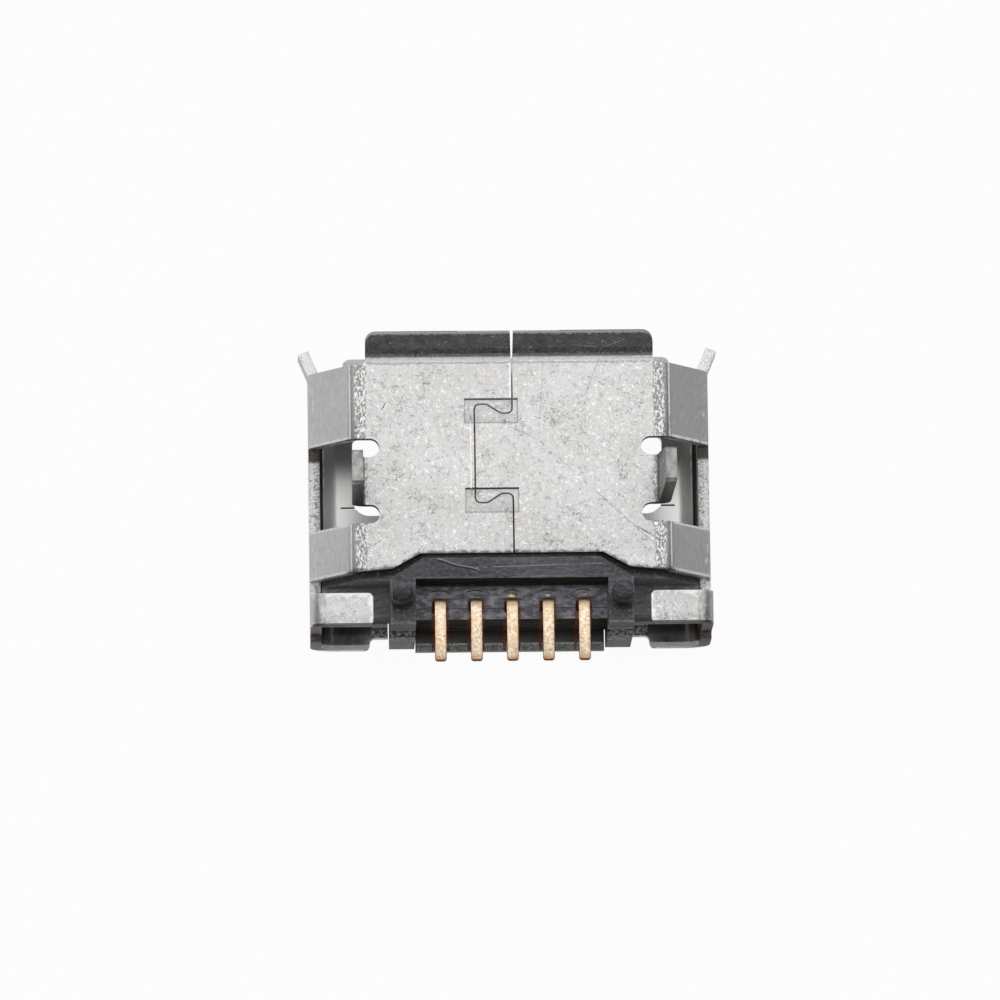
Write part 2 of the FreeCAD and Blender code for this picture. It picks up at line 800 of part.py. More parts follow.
def build_rear(body):
    """The bar at the board plane, the recess behind it, the two posts and the side ledges."""
    plan_block(body, "Bar", recess_floor, board_z, [
        (bar_front_half * -1, at_depth(s.bar_front)),
        (bar_front_half, at_depth(s.bar_front)),
        (post_outer, at_depth(bar_back)),
        (post_outer * -1, at_depth(bar_back)),
    ])
    inside = bar_back - s.seat_gap
    step_depth = bar_back + s.recess_step
    sill_depth = step_depth + s.recess_sill
    post_depth = bar_back + s.post_length
    ledge_half = half_width - s.sheet - s.seat_gap
    plan_block(
        body, "RecessFloor", inner_low, recess_floor,
        rectangle(post_inner * -1, post_inner, inside, step_depth),
    )
    plan_block(
        body, "RecessSill", inner_low, recess_floor - s.recess_step_drop,
        rectangle(post_inner * -1, post_inner, inside, sill_depth),
    )
    for side, tag in ((-1, "Left"), (1, "Right")):
        plan_block(
            body, f"Post{tag}", inner_low - s.post_drop, board_z,
            rectangle(post_inner * side, post_outer * side, bar_back, post_depth),
        )
        plan_block(
            body, f"PostFoot{tag}", inner_low - s.post_drop, board_z - s.post_step,
            rectangle(post_inner * side, post_outer * side, bar_back, post_depth + s.post_foot),
        )
        ledge = draw_outline(body, f"Ledge{tag}Section", "XZ_Plane", at_depth(inside) * -1, [
            (post_outer * side, inner_low),
            (ledge_half * side, inner_low, s.cover_radius - s.sheet),
            (ledge_half * side, inner_low + s.ledge_height),
            (post_outer * side, inner_low + s.ledge_height),
        ])
        pad(body, f"Ledge{tag}", ledge, ledge_back - inside)


def add_pegs(body):
    """Two round pegs that locate the socket in the circuit board."""
    peg_y = at_depth(bar_back + s.peg_setback)
    circles = []
    for side in (-1, 1):
        circles.append((peg_x * side, peg_y, s.peg_radius))
    pegs = pad(body, "Pegs", draw_circles(body, "PegCircles", "XY_Plane", board_z, circles), s.peg_height)
    top = board_z.value + s.peg_height.value
    rims = find_edges(pegs.Shape, lambda edge: near(edge.BoundBox.ZMin, top))
    fillet(body, "PegRound", pegs, rims, s.peg_round)


def cut_channels(body):
    """One channel for each contact, repeated across the pitch."""
    gap = s.contact_gap
    open_z = tongue_high + s.sheet
    first_x = s.contact_pitch * (-(CONTACT_COUNT - 1) / 2)
    channel = draw_outline(body, "Channel", "YZ_Plane", first_x, [
        (at_depth(contact_front - gap), contact_low - gap),
        (at_depth(riser_back + gap), contact_low - gap),
        (at_depth(riser_back + gap), board_z),
        (at_depth(riser_front - gap), board_z),
        (at_depth(riser_front - gap), contact_high + gap, s.low_bend - gap),
        (at_depth(housing_front), contact_high + gap),
        (at_depth(housing_front), open_z),
        (at_depth(contact_front - gap), open_z),
    ])
    first = pocket(body, "ChannelCut", channel, s.contact_width + gap * 2, both_ways=True)
    row = body.newObject("PartDesign::LinearPattern", "ChannelRow")
    row.Originals = [first]
    origin = {feature.Role: feature for feature in body.Origin.OriginFeatures}
    row.Direction = (origin["X_Axis"], [""])
    row.setExpression("Length", (s.contact_pitch * (CONTACT_COUNT - 1)).text)
    row.Occurrences = CONTACT_COUNT
    body.Tip = row
    doc.recompute()


def build_housing():
    body = doc.addObject("PartDesign::Body", "Housing")
    body.Label = "housing"
    build_front_wall(body)
    build_tongue(body)
    build_rear(body)
    add_pegs(body)
    cut_channels(body)
    return body


def build_contact(number):
    """A strip that runs along the tongue, through the housing, up and out to a flat tail."""
    body = doc.addObject("PartDesign::Body", f"Contact{number}")
    body.Label = f"contact_{number}"
    outline = draw_outline(body, f"ContactOutline{number}", "YZ_Plane", ZERO, [
        (at_depth(contact_front), contact_low),
        (at_depth(riser_back), contact_low, s.low_bend + s.contact_thick),
        (at_depth(riser_back), board_z - s.contact_thick, s.high_bend),
        (at_depth(tail_end), board_z - s.contact_thick),
        (at_depth(tail_end), board_z),
        (at_depth(riser_front), board_z, s.high_bend + s.contact_thick),
        (at_depth(riser_front), contact_high, s.low_bend),
        (at_depth(contact_front), contact_high),
    ])
    strip = pad(body, f"ContactStrip{number}", outline, s.contact_width, both_ways=True)
    half = s.contact_width.value / 2
    tail_y = at_depth(tail_end).value
    tip = find_edges(strip.Shape, lambda edge: vertical(edge, half, tail_y))
    fillet(
        body, f"TailBevel{number}", strip, tip, s.tail_bevel,
        kind="PartDesign::Chamfer", size="Size",
    )
    steps = number - (CONTACT_COUNT + 1) / 2
    body.setExpression("Placement.Base.x", (s.contact_pitch * steps).text)
    return body


def check_document():
    for item in doc.Objects:
        if "Invalid" in item.State or "Error" in item.State:
            raise ValueError(f"{item.Label} is {item.State}")


def main():
    pieces = [build_shell(), build_housing()]
    for number in range(1, CONTACT_COUNT + 1):
        pieces.append(build_contact(number))
    doc.recompute()
    check_document()
    for piece in pieces:
        shape = piece.Shape
        if shape.isNull() or not shape.isValid() or len(shape.Solids) != 1:
            raise ValueError(f"{piece.Label} isn't one valid solid")
    os.makedirs("parts", exist_ok=True)
    for piece in pieces:
        piece.Shape.exportStep(f"parts/{piece.Label}.step")
        box = piece.Shape.BoundBox
        print(f"{piece.Label}: {piece.Shape.Volume:.4f} mm3, {box.XLength:.2f} x {box.YLength:.2f} "
              f"x {box.ZLength:.2f} mm, z from {box.ZMin:.3f}")


main()
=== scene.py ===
# %% [markdown]
# # A micro USB socket, seen from the side that faces the circuit board
#
# The real object is one stamped and folded sheet, one moulding and five bent strips, barely
# 8 mm across. The solids already have every fold and hole. What is left for Blender is what a
# close-up shows: softened edges, sheared metal, speckled plating, scratches and grainy plastic.
# Everything is in metres, in the frame of the solids, so sizes are written in millimetres and
# turned into metres in one place.

# %% Load the solids
import bpy
import math
from mathutils import Matrix, Vector
from mathutils.bvhtree import BVHTree


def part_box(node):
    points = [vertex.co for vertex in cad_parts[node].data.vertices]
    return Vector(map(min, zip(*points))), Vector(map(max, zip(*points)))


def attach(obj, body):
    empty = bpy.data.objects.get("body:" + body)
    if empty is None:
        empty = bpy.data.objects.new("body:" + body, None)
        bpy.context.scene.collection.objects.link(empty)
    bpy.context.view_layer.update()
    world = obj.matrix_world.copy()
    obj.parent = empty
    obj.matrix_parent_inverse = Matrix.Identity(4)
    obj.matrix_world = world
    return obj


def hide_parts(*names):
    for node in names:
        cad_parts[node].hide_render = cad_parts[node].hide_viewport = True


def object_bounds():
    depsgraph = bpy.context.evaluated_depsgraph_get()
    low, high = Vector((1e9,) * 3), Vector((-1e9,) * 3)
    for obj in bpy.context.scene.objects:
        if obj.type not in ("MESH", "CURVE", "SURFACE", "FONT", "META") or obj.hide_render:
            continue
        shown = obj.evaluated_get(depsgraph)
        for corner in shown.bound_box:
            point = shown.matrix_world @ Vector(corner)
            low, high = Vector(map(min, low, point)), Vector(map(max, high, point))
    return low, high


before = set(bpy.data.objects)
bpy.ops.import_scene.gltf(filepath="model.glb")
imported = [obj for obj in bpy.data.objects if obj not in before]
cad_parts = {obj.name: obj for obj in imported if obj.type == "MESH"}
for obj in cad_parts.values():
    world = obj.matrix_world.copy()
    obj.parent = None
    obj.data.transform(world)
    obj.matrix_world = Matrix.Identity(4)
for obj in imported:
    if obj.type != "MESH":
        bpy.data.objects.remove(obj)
solid_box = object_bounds()
MM = 0.001
size_mm = (solid_box[1] - solid_box[0]) / MM
print(f"solids: {size_mm.x:.2f} x {size_mm.y:.2f} x {size_mm.z:.2f} mm, {len(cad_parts)} nodes")

# %% [markdown]
# ## Driving sizes
#
# The shell lies on its wide cover wall with the mouth towards +Y. A depth is measured back from
# the line where the board-side wall bends into its flared lip. These few sizes are the ones that
# the finishes and the small added pieces need. The rest comes from the solids' own boxes.

# %% Sizes in millimetres
LIP_RUN = 0.511
SHEET = 0.2
COVER_INSIDE = 0.4
SILL = 1.35
BOARD_PLANE = 2.5
WALL_FLAT_HALF = 2.87
SHELL_HALF = 3.64
INNER_HALF = 3.44
LIP_HALF = 2.6
BAR_BACK = 4.03
FOOT_INNER = 2.51
FOOT_FRONT = 4.28
FOOT_BACK = 4.87
LATCH_SLIT = 2.38
COVER_BACK = 5.03
WINDOW_FRONT = 1.455
WINDOW_BACK = 3.009
WALL_BACK = 3.57
SLOPE_BACK = 3.899
LEG_TOP = 3.8
POST_BACK = 4.859
STAKE_LEFT = -0.8175
STAKE_RIGHT = 0.1425
STAKE_LENGTH = 0.44
STAKE_FRONTS = (0.745, 2.385)
SEAM_LEFT = -0.666
WALL_NOTCH_HALF = 1.65
WALL_CORNER_HALF = 2.15
WALL_CORNER_BACK = 0.27
SLOPE_STEP = 0.06
RECESS_FLOOR = 1.8
RECESS_STEP = 4.469
BAR_FRONT = 3.649
POST_HALF = 2.2
PEG_HALF_PITCH = 2.0
PEG_DEPTH = 4.349
CONTACT_COUNT = 5
CONTACT_PITCH = 0.65
CONTACT_SHEET = 0.15

lip_root_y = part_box("shell")[1].y / MM - LIP_RUN


def place(x, depth, z):
    """A point in metres from millimetres across, behind the lip's root, and up."""
    return Vector((x, lip_root_y - depth, z)) * MM


print(f"the lip bends at y = {lip_root_y:.3f} mm")

# %% [markdown]
# ## Camera
#
# The picture was taken with a long lens from above the tails, about ten degrees off straight
# down. The socket stands a little turned in the frame, so the camera has a small azimuth and a
# roll that nearly cancels it. The camera's axes are worked out and put in its matrix, because a
# track constraint has no roll.

# %% Aim the camera
VIEW_AZIMUTH = math.radians(-9.0)
VIEW_ELEVATION = math.radians(80.25)
VIEW_ROLL = math.radians(8.33)
VIEW_DISTANCE = 200.0
FRAME_WIDTH = 1000.0
PIXELS_PER_MM = 55.33
AIM_PIXEL = (510.85, 494.71)
SENSOR = 36.0

towards_camera = Vector((
    math.sin(VIEW_AZIMUTH) * math.cos(VIEW_ELEVATION),
    -math.cos(VIEW_AZIMUTH) * math.cos(VIEW_ELEVATION),
    math.sin(VIEW_ELEVATION),
))
level_right = Vector((math.cos(VIEW_AZIMUTH), math.sin(VIEW_AZIMUTH), 0.0))
level_up = towards_camera.cross(level_right)
view_right = level_right * math.cos(VIEW_ROLL) + level_up * math.sin(VIEW_ROLL)
view_up = level_up * math.cos(VIEW_ROLL) - level_right * math.sin(VIEW_ROLL)

# The aimed point isn't in the frame's middle, so the camera slides sideways by the difference.
slide_right = (FRAME_WIDTH / 2 - AIM_PIXEL[0]) / PIXELS_PER_MM
slide_up = (AIM_PIXEL[1] - FRAME_WIDTH / 2) / PIXELS_PER_MM
aim = Vector((0.0, 0.0, BOARD_PLANE)) + view_right * slide_right + view_up * slide_up
eye = (aim + towards_camera * VIEW_DISTANCE) * MM

bpy.ops.object.select_all(action="DESELECT")
bpy.ops.object.camera_add()
camera = bpy.context.object
camera.name = "studio_camera"
turn = Matrix((view_right, view_up, towards_camera)).transposed()
camera.matrix_world = Matrix.Translation(eye) @ turn.to_4x4()
camera.data.sensor_width = SENSOR
camera.data.lens = SENSOR * VIEW_DISTANCE / (FRAME_WIDTH / PIXELS_PER_MM)
camera.data.clip_start = VIEW_DISTANCE * MM / 10
bpy.context.scene.camera = camera
print(f"lens {camera.data.lens:.0f} mm at {VIEW_DISTANCE:.0f} mm")

# %% [markdown]
# ## Studio
#
# Bare metal shows its surroundings, so the studio decides how it looks. A large panel overhead
# lights the wall that faces the camera, and three brighter strips below it glint only in bends
# and rounded edges. The slopes mirror the floor, which is dimmer in reflections on the right. The
# world is dark high up behind the tails, because that is what the flared lip mirrors, and pale
# again near the horizon. The floor and the world are white to the camera, and the floor keeps part
# of the object's shadow.

# %% Node helper
def opaque(tone):
    """A grey value or a colour, as the four numbers that a colour socket takes."""
    return (tone, tone, tone, 1.0) if isinstance(tone, float) else (*tone, 1.0)


class Recipe:
    """A node tree that is built one node at a time."""

    def __init__(self, tree):
        self.tree = tree

    def add(self, kind, feeds=None, **settings):
        """A node with its settings, and its inputs set to values or joined to sockets."""
        made = self.tree.nodes.new(kind)
        for key, value in settings.items():
            setattr(made, key, value)
        for key, value in (feeds or {}).items():
            self.feed(made.inputs[key], value)
        return made

    def feed(self, socket, value):
        if isinstance(value, bpy.types.NodeSocket):
            self.tree.links.new(value, socket)
        else:
            socket.default_value = opaque(value) if socket.type == "RGBA" else value

    def calculate(self, operation, first, *others):
        """The operation on one value, or on the first and every further one in turn."""
        for other in others or (0.0,):
            first = self.add("ShaderNodeMath", {0: first, 1: other}, operation=operation).outputs[0]
        return first

    def plus(self, first, second):
        return self.calculate("ADD", first, second)

    def less(self, first, second):
        return self.calculate("SUBTRACT", first, second)

    def times(self, *values):
        return self.calculate("MULTIPLY", *values)

    def either(self, *masks):
        return self.calculate("MAXIMUM", *masks)

    def ramp(self, factor, stops):
        """A colour band. Each stop is a position and a grey value or a colour."""
        made = self.add("ShaderNodeValToRGB", {"Fac": factor})
        band = made.color_ramp.elements
        while len(band) < len(stops):
            band.new(1.0)
        for element, (position, colour) in zip(band, stops):
            element.position = position
            element.color = opaque(colour)
        return made.outputs["Color"]

    def fade(self, value, start, end, first=0.0, last=1.0, kind="SMOOTHSTEP"):
        """A smooth step from the first result at the start to the last one at the end."""
        return self.add("ShaderNodeMapRange", {
            "Value": value, "From Min": start, "From Max": end, "To Min": first, "To Max": last,
        }, interpolation_type=kind).outputs["Result"]

    def mix(self, factor, first, second, blend="MIX"):
        made = self.add("ShaderNodeMix", data_type="RGBA", blend_type=blend)
        self.feed(made.inputs["Factor"], factor)
        self.feed(made.inputs["A"], first)
        self.feed(made.inputs["B"], second)
        return made.outputs["Result"]


print("node helper ready")

# %% Panels, floor and world
PANELS = (
    # name, place in metres, size in metres, power in watts
    ("overhead_panel", (0.0, 0.12, 0.52), (0.8, 0.66), 0.51),
    ("rear_strip", (0.0, -0.1, 0.5), (0.7, 0.07), 0.07),
    ("left_strip", (-0.15, 0.12, 0.49), (0.07, 0.4), 0.07),
    ("right_strip", (0.15, 0.12, 0.49), (0.07, 0.4), 0.07),
)
FLOOR_WIDTH = 2.0
FLOOR_WHITE = 0.9
SHADOW_SHARE = 0.05
MIRRORED_LEFT = 0.735
MIRRORED_RIGHT = 0.455
MIRROR_FADE = 0.008
WORLD_LOW = 0.086
WORLD_HIGH = 0.8
WORLD_RIM = 0.42
WORLD_TURN = (-0.65, 0.25)
RIM_FADE = (0.46, 0.16)
SIDE_FADE = (0.35, 0.75)
SIDE_LEFT = 0.62
SIDE_RIGHT = 0.42

for name, spot, (width, height), power in PANELS:
    bpy.ops.object.light_add(type="AREA", location=spot)
    lamp = bpy.context.object
    lamp.name = name
    lamp.rotation_euler = Vector(spot).to_track_quat("Z", "Y").to_euler()
    lamp.data.shape = "RECTANGLE"
    lamp.data.size = width
    lamp.data.size_y = height
    lamp.data.energy = power

bpy.ops.mesh.primitive_plane_add(size=FLOOR_WIDTH)
floor = bpy.context.object
floor.name = "studio_floor"
paper = bpy.data.materials.new("pale_paper")
paper.use_nodes = True
floor.data.materials.append(paper)
recipe = Recipe(paper.node_tree)
recipe.tree.nodes.remove(recipe.tree.nodes["Principled BSDF"])
rays = recipe.add("ShaderNodeLightPath").outputs
seen = recipe.either(rays["Is Camera Ray"], rays["Is Glossy Ray"], rays["Is Transmission Ray"])
lit_paper = recipe.add("ShaderNodeBsdfDiffuse", {"Color": FLOOR_WHITE})
paper_x = recipe.add("ShaderNodeTexCoord").outputs["Object"]
paper_x = recipe.add("ShaderNodeSeparateXYZ", {"Vector": paper_x}).outputs["X"]
mirrored = recipe.fade(paper_x, -MIRROR_FADE, MIRROR_FADE, MIRRORED_LEFT, MIRRORED_RIGHT)
strength = recipe.either(rays["Is Camera Ray"], mirrored)
white_paper = recipe.add("ShaderNodeEmission", {"Strength": strength})
paper_share = recipe.times(seen, 1.0 - SHADOW_SHARE)
blended = recipe.add("ShaderNodeMixShader", {
    0: paper_share, 1: lit_paper.outputs[0], 2: white_paper.outputs[0],
})
recipe.feed(recipe.tree.nodes["Material Output"].inputs["Surface"], blended.outputs[0])

world = bpy.data.worlds.new("studio_world")
bpy.context.scene.world = world
world.use_nodes = True
recipe = Recipe(world.node_tree)
rays = recipe.add("ShaderNodeLightPath").outputs
heading = recipe.add("ShaderNodeTexCoord").outputs["Generated"]
apart = recipe.add("ShaderNodeSeparateXYZ", {"Vector": heading}).outputs
glow = recipe.fade(apart["Y"], *WORLD_TURN)
glow = recipe.fade(glow, 0.0, 1.0, WORLD_LOW, WORLD_HIGH, "LINEAR")
rim_glow = recipe.times(recipe.fade(apart["Z"], *RIM_FADE), WORLD_RIM)
glow = recipe.either(glow, rim_glow)
for side, share in ((-1, SIDE_LEFT), (1, SIDE_RIGHT)):
    aside = recipe.fade(apart["X"], *(edge * side for edge in SIDE_FADE))
    dimmed = recipe.less(1.0, recipe.times(aside, 1.0 - share))
    glow = recipe.times(glow, dimmed)
glow = recipe.either(glow, rays["Is Camera Ray"])
recipe.feed(recipe.tree.nodes["Background"].inputs["Strength"], glow)
recipe.feed(recipe.tree.nodes["Background"].inputs["Color"], 1.0)
bpy.context.scene.view_settings.view_transform = "Standard"
print(f"{len(PANELS)} panels, floor {FLOOR_WIDTH:.0f} m wide")

# %% [markdown]
# ## Welding the solids
#
# A solid arrives as loose triangles. Its look needs shared points, flat faces without cuts across
# them, and a hair-thin bevel on every edge, because no stamped or moulded edge is a razor. So each
# node gets a welded copy that stands for it. The solid itself isn't touched.

# %% Weld, flatten and bevel a node
WELD = 0.0005 * MM
FLAT_ANGLE = math.radians(0.8)
EDGE_ANGLE = math.radians(32.0)


def select_only(piece):
    """Makes one object the only selected and active one."""
    bpy.ops.object.select_all(action="DESELECT")
    piece.select_set(True)
    bpy.context.view_layer.objects.active = piece


def apply_all(piece):
    select_only(piece)
    for modifier in list(piece.modifiers):
        bpy.ops.object.modifier_apply(modifier=modifier.name)


def welded_copy(node, name):
    """A copy of a node's mesh with its loose triangles welded into flat faces."""
    piece = bpy.data.objects.new(name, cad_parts[node].data.copy())
    bpy.context.scene.collection.objects.link(piece)
    piece.data.materials.clear()
    select_only(piece)
    bpy.ops.object.mode_set(mode="EDIT")
    bpy.ops.mesh.select_all(action="SELECT")
    bpy.ops.mesh.customdata_custom_splitnormals_clear()
    bpy.ops.mesh.remove_doubles(threshold=WELD)
    bpy.ops.mesh.dissolve_limited(angle_limit=FLAT_ANGLE)
    bpy.ops.object.mode_set(mode="OBJECT")
    return piece


def soften(piece, width):
    """A small rounded bevel on every sharp edge, and smooth shading that keeps flats flat."""
    bevel = piece.modifiers.new("edge_round", "BEVEL")
    bevel.limit_method = "ANGLE"
    bevel.angle_limit = EDGE_ANGLE
    bevel.width = width
    bevel.segments = 2
    bevel.use_clamp_overlap = True
    apply_all(piece)
    bpy.ops.object.shade_smooth_by_angle(angle=EDGE_ANGLE)
    weighted = piece.modifiers.new("flat_faces", "WEIGHTED_NORMAL")
    weighted.keep_sharp = True
    apply_all(piece)


def dress(piece, node):
    """The piece stands for its node and rides with it."""
    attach(piece, "root")
    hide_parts(node)
    print(f"{piece.name}: {len(piece.data.polygons)} faces")


shell = welded_copy("shell", "shell_skin")
housing = welded_copy("housing", "housing_skin")
print(f"shell {len(shell.data.polygons)} faces, housing {len(housing.data.polygons)} faces")

# %% Bevel the shell and the housing
SHELL_BEVEL = 0.01 * MM
HOUSING_BEVEL = 0.014 * MM

soften(shell, SHELL_BEVEL)
dress(shell, "shell")
soften(housing, HOUSING_BEVEL)
dress(housing, "housing")

# %% Bevel the contacts
CONTACT_BEVEL = 0.02 * MM

contacts = []
for number in range(1, CONTACT_COUNT + 1):
    contact = welded_copy(f"contact_{number}", f"contact_skin_{number}")
    soften(contact, CONTACT_BEVEL)
    dress(contact, f"contact_{number}")
    contacts.append(contact)

# %% [markdown]
# ## Sheared faces
#
# A punched sheet has two kinds of surface. The rolled faces are plated and smooth. The faces cut
# by the punch are rough and torn, and the copper shows through the thin plating there. A rolled
# face has the other side of the sheet right behind it, and a sheared face doesn't, so rays cast
# inwards tell the two apart. A large face may have a hole at its middle, so each of its triangles
# casts a ray and they vote by area.

# %% Find the sheared faces
def mark_sheared(piece, sheet):
    """Gives every face without the sheet's other side right behind it the second material."""
    tree = BVHTree.FromObject(piece, bpy.context.evaluated_depsgraph_get())
    start_gap = sheet * 0.02
    votes = [0.0] * len(piece.data.polygons)
    piece.data.calc_loop_triangles()
    for triangle in piece.data.loop_triangles:
        corners = [piece.data.vertices[index].co for index in triangle.vertices]
        middle = sum(corners, Vector()) / 3
        inwards = piece.data.polygons[triangle.polygon_index].normal * -1
        hit = tree.ray_cast(middle + inwards * start_gap, inwards, sheet * 3)
        thin = hit[0] is not None and hit[3] < sheet * 1.25
        votes[triangle.polygon_index] += triangle.area * (1 if thin else -1)
    for face in piece.data.polygons:
        face.material_index = 0 if votes[face.index] > 0 else 1
    print(f"{piece.name}: {sum(vote <= 0 for vote in votes)} sheared faces")


# %% [markdown]
# ## Finishes
#
# Every finish reads Object coordinates, scaled so that one unit is a millimetre. Two patterns do
# nearly all of the work. A grain is plain noise of a stated size, drawn out along an axis where
# the sheet was rolled. A stroke is the thin border between two cells of a mosaic: a patchy mask
# keeps a few of them, and what is left are the short straight nicks that tumbling leaves, short
# painted glints, or long scratches where the cells are large.

# %% Patterns in millimetres
class Patterned(Recipe):
    """A material whose patterns are measured in millimetres on the object."""

    def __init__(self, name):
        self.material = bpy.data.materials.new(name)
        self.material.use_nodes = True
        super().__init__(self.material.node_tree)
        self.shader = self.tree.nodes["Principled BSDF"]
        place_on_object = self.add("ShaderNodeTexCoord").outputs["Object"]
        self.mm = self.add("ShaderNodeMapping", {
            "Vector": place_on_object, "Scale": (1 / MM, 1 / MM, 1 / MM),
        }).outputs[0]
        parts = self.add("ShaderNodeSeparateXYZ", {"Vector": self.mm}).outputs
        self.x, self.y, self.z = parts["X"], parts["Y"], parts["Z"]
        self.across = self.calculate("ABSOLUTE", self.x)
        self.depth = self.less(lip_root_y, self.y)
        self.patterns = 0

    def ground(self, drawn, turn):
        """Coordinates for the next pattern, turned and then drawn out, away from the others."""
        self.patterns += 1
        apart = (3.7 * self.patterns, 5.3 * self.patterns, 1.9 * self.patterns)
        return self.add("ShaderNodeMapping", {
            "Vector": self.mm, "Location": apart, "Rotation": (0.0, 0.0, turn), "Scale": drawn,
        }, vector_type="TEXTURE").outputs[0]

    def grain(self, size, detail=2.0, drawn=(1.0, 1.0, 1.0), turn=0.0, harsh=0.5):
        """Noise whose blotches are about this many millimetres across."""
        return self.add("ShaderNodeTexNoise", {
            "Vector": self.ground(drawn, turn), "Scale": 0.5 / size,
            "Detail": detail, "Roughness": harsh,
        }).outputs["Fac"]

    def strokes(self, cell, width, keep, drawn=(1.0, 1.0, 1.0), turn=0.0):
        """A few of the borders between mosaic cells: more of them with a lower keep value."""
        border = self.add(
            "ShaderNodeTexVoronoi",
            {"Vector": self.ground(drawn, turn), "Scale": 1 / cell},
            feature="DISTANCE_TO_EDGE",
        ).outputs["Distance"]
        line = self.fade(border, width / cell, 0.0)
        patch = self.fade(self.grain(cell * 0.35, 1.0), keep, keep + 0.05)
        return self.times(line, patch)


print("patterns ready")

# %% [markdown]
# A mark has a place, so every finish also needs masks: 1 where the mark is and 0 elsewhere, with
# soft ends. A mask is a product of fades, each along one coordinate. An edge that should look torn
# is read from a coordinate that wanders with a grain.

# %% Masks
class Masked(Patterned):
    """Masks by place, all of them from coordinates in millimetres."""

    def all_of(self, *masks):
        return self.times(*masks)

    def without(self, mask):
        return self.less(1.0, mask)

    def wandering(self, value, pattern, reach):
        """The value, pushed up by as much as this reach where the pattern is high."""
        return self.plus(value, self.times(pattern, reach))

    def within(self, value, low, high, fade):
        """1 where the value lies between two limits, with soft ends."""
        rising = self.fade(value, low - fade, low)
        falling = self.fade(value, high + fade, high)
        return self.times(rising, falling)

    def step(self, value, edge, low, high):
        """A fade whose two limits are measured from an edge."""
        return self.fade(value, edge + low, edge + high)

    def band(self, value, edge, low, high, fade):
        """1 between two limits that are measured from an edge."""
        return self.within(value, edge + low, edge + high, fade)

    def near(self, x, depth, radius):
        """1 at a spot on the socket, fading to 0 at this radius."""
        aside = self.calculate("POWER", self.less(self.x, x), 2.0)
        along = self.calculate("POWER", self.less(self.depth, depth), 2.0)
        return self.fade(self.calculate("SQRT", self.plus(aside, along)), radius, 0.0)

    def segment(self, start, end):
        """The signed distance from a wavy line, and a mask of the stretch between its ends."""
        (x, depth), (end_x, end_depth) = start, end
        rise = (end_depth - depth) / (end_x - x)
        line = self.plus(self.times(self.x, rise), depth - rise * x)
        away = self.wandering(self.less(self.depth, line), self.grain(0.12, 2.0), 0.1)
        away = self.calculate("DIVIDE", self.less(away, 0.05), math.hypot(1.0, rise))
        return away, self.within(self.x, x, end_x, 0.03)

    def inside_of(self, across, left, right, front, back):
        """How far a point is inside a rectangle, and below zero outside it."""
        sides = self.less(across, left), self.less(right, across)
        ends = self.less(self.depth, front), self.less(back, self.depth)
        return self.calculate("MINIMUM", *sides, *ends)


print("masks ready")

# %% Colours laid over each other
class Finish(Masked):
    """A finish under way: its colour so far, and how it is joined to the shader."""

    def turn_to(self, mask, colour):
        """Puts this colour in place of the one so far, where the mask is 1."""
        self.colour = self.mix(mask, self.colour, colour)

    def dim(self, mask, pattern, darkest):
        """Dims the colour to this share where the pattern is low and the mask is 1."""
        tone = self.ramp(pattern, [(0.3, darkest), (0.7, 1.0)])
        self.turn_to(mask, self.mix(1.0, self.colour, tone, "MULTIPLY"))

    def touch(self, strength, colour, *masks):
        """Lays another colour over the one so far, at this strength where all masks are 1."""
        self.turn_to(self.times(*masks, strength), colour)

    def surface(self, roughness, height=None, relief=0.0, **constants):
        """Joins the patterns to the shader. The relief is in millimetres."""
        self.feed(self.shader.inputs["Base Color"], self.colour)
        self.feed(self.shader.inputs["Roughness"], roughness)
        if height is not None:
            bump = self.add("ShaderNodeBump", {"Height": height, "Distance": relief * MM})
            self.feed(self.shader.inputs["Normal"], bump.outputs[0])
        for key, value in constants.items():
            self.shader.inputs[key.replace("_", " ")].default_value = value
        return self.material


print("finish helpers ready")

# %% [markdown]
# Two places matter to more than one finish. The board-side wall ends in a stepped rear edge, which
# is torn on the sheet and casts a painted shadow on the housing behind it. On both sides of every
# contact, a red-brown band of painted shade stands for the gap of its slot, on the housing and on
# the cover below it.

# %% Places that finishes share
# Where the red-brown painted shade of the slot gaps beside the contacts lies, and how far it leans
# lower down.
GAP_SHADE_START = 0.106
GAP_SHADE_END = 0.152
GAP_SHADE_LEAN = 0.0163
GAP_SHADE_FROM = 4.3


def rear_edge_gap(f):
    """How far a point of the board-side wall is in front of the wall's stepped rear edge."""
    step = f.fade(f.across, WALL_NOTCH_HALF, WALL_CORNER_HALF, 0.0, WALL_CORNER_BACK, "LINEAR")
    rise = f.fade(f.across, WALL_CORNER_HALF, WALL_FLAT_HALF, 0.0, SLOPE_STEP, "LINEAR")
    return f.less(f.plus(f.plus(step, WALL_BACK), rise), f.depth)


def contact_offset(f, lean=0.0):
    """The signed distance from the nearest contact's middle, measured under a slight lean."""
    below = f.less(BOARD_PLANE, f.z)
    leaned = f.less(f.x, f.times(below, lean))
    return f.add("ShaderNodeMath", {
        0: leaned, 1: CONTACT_PITCH / 2, 2: -CONTACT_PITCH / 2,
    }, operation="WRAP").outputs[0]


def beside_contacts(f):
    """A thin patchy band on both sides of every contact."""
    offset = f.calculate("ABSOLUTE", contact_offset(f, GAP_SHADE_LEAN))
    band = f.within(offset, GAP_SHADE_START, GAP_SHADE_END, 0.01)
    row_half = CONTACT_PITCH * CONTACT_COUNT / 2
    patchy = f.fade(f.grain(0.05, 3.0), 0.3, 0.5)
    return f.all_of(band, f.fade(f.across, row_half, row_half - 0.02), patchy)


print(f"painted_gap_shade {GAP_SHADE_START:.3f} to {GAP_SHADE_END:.3f} mm from each contact's middle")

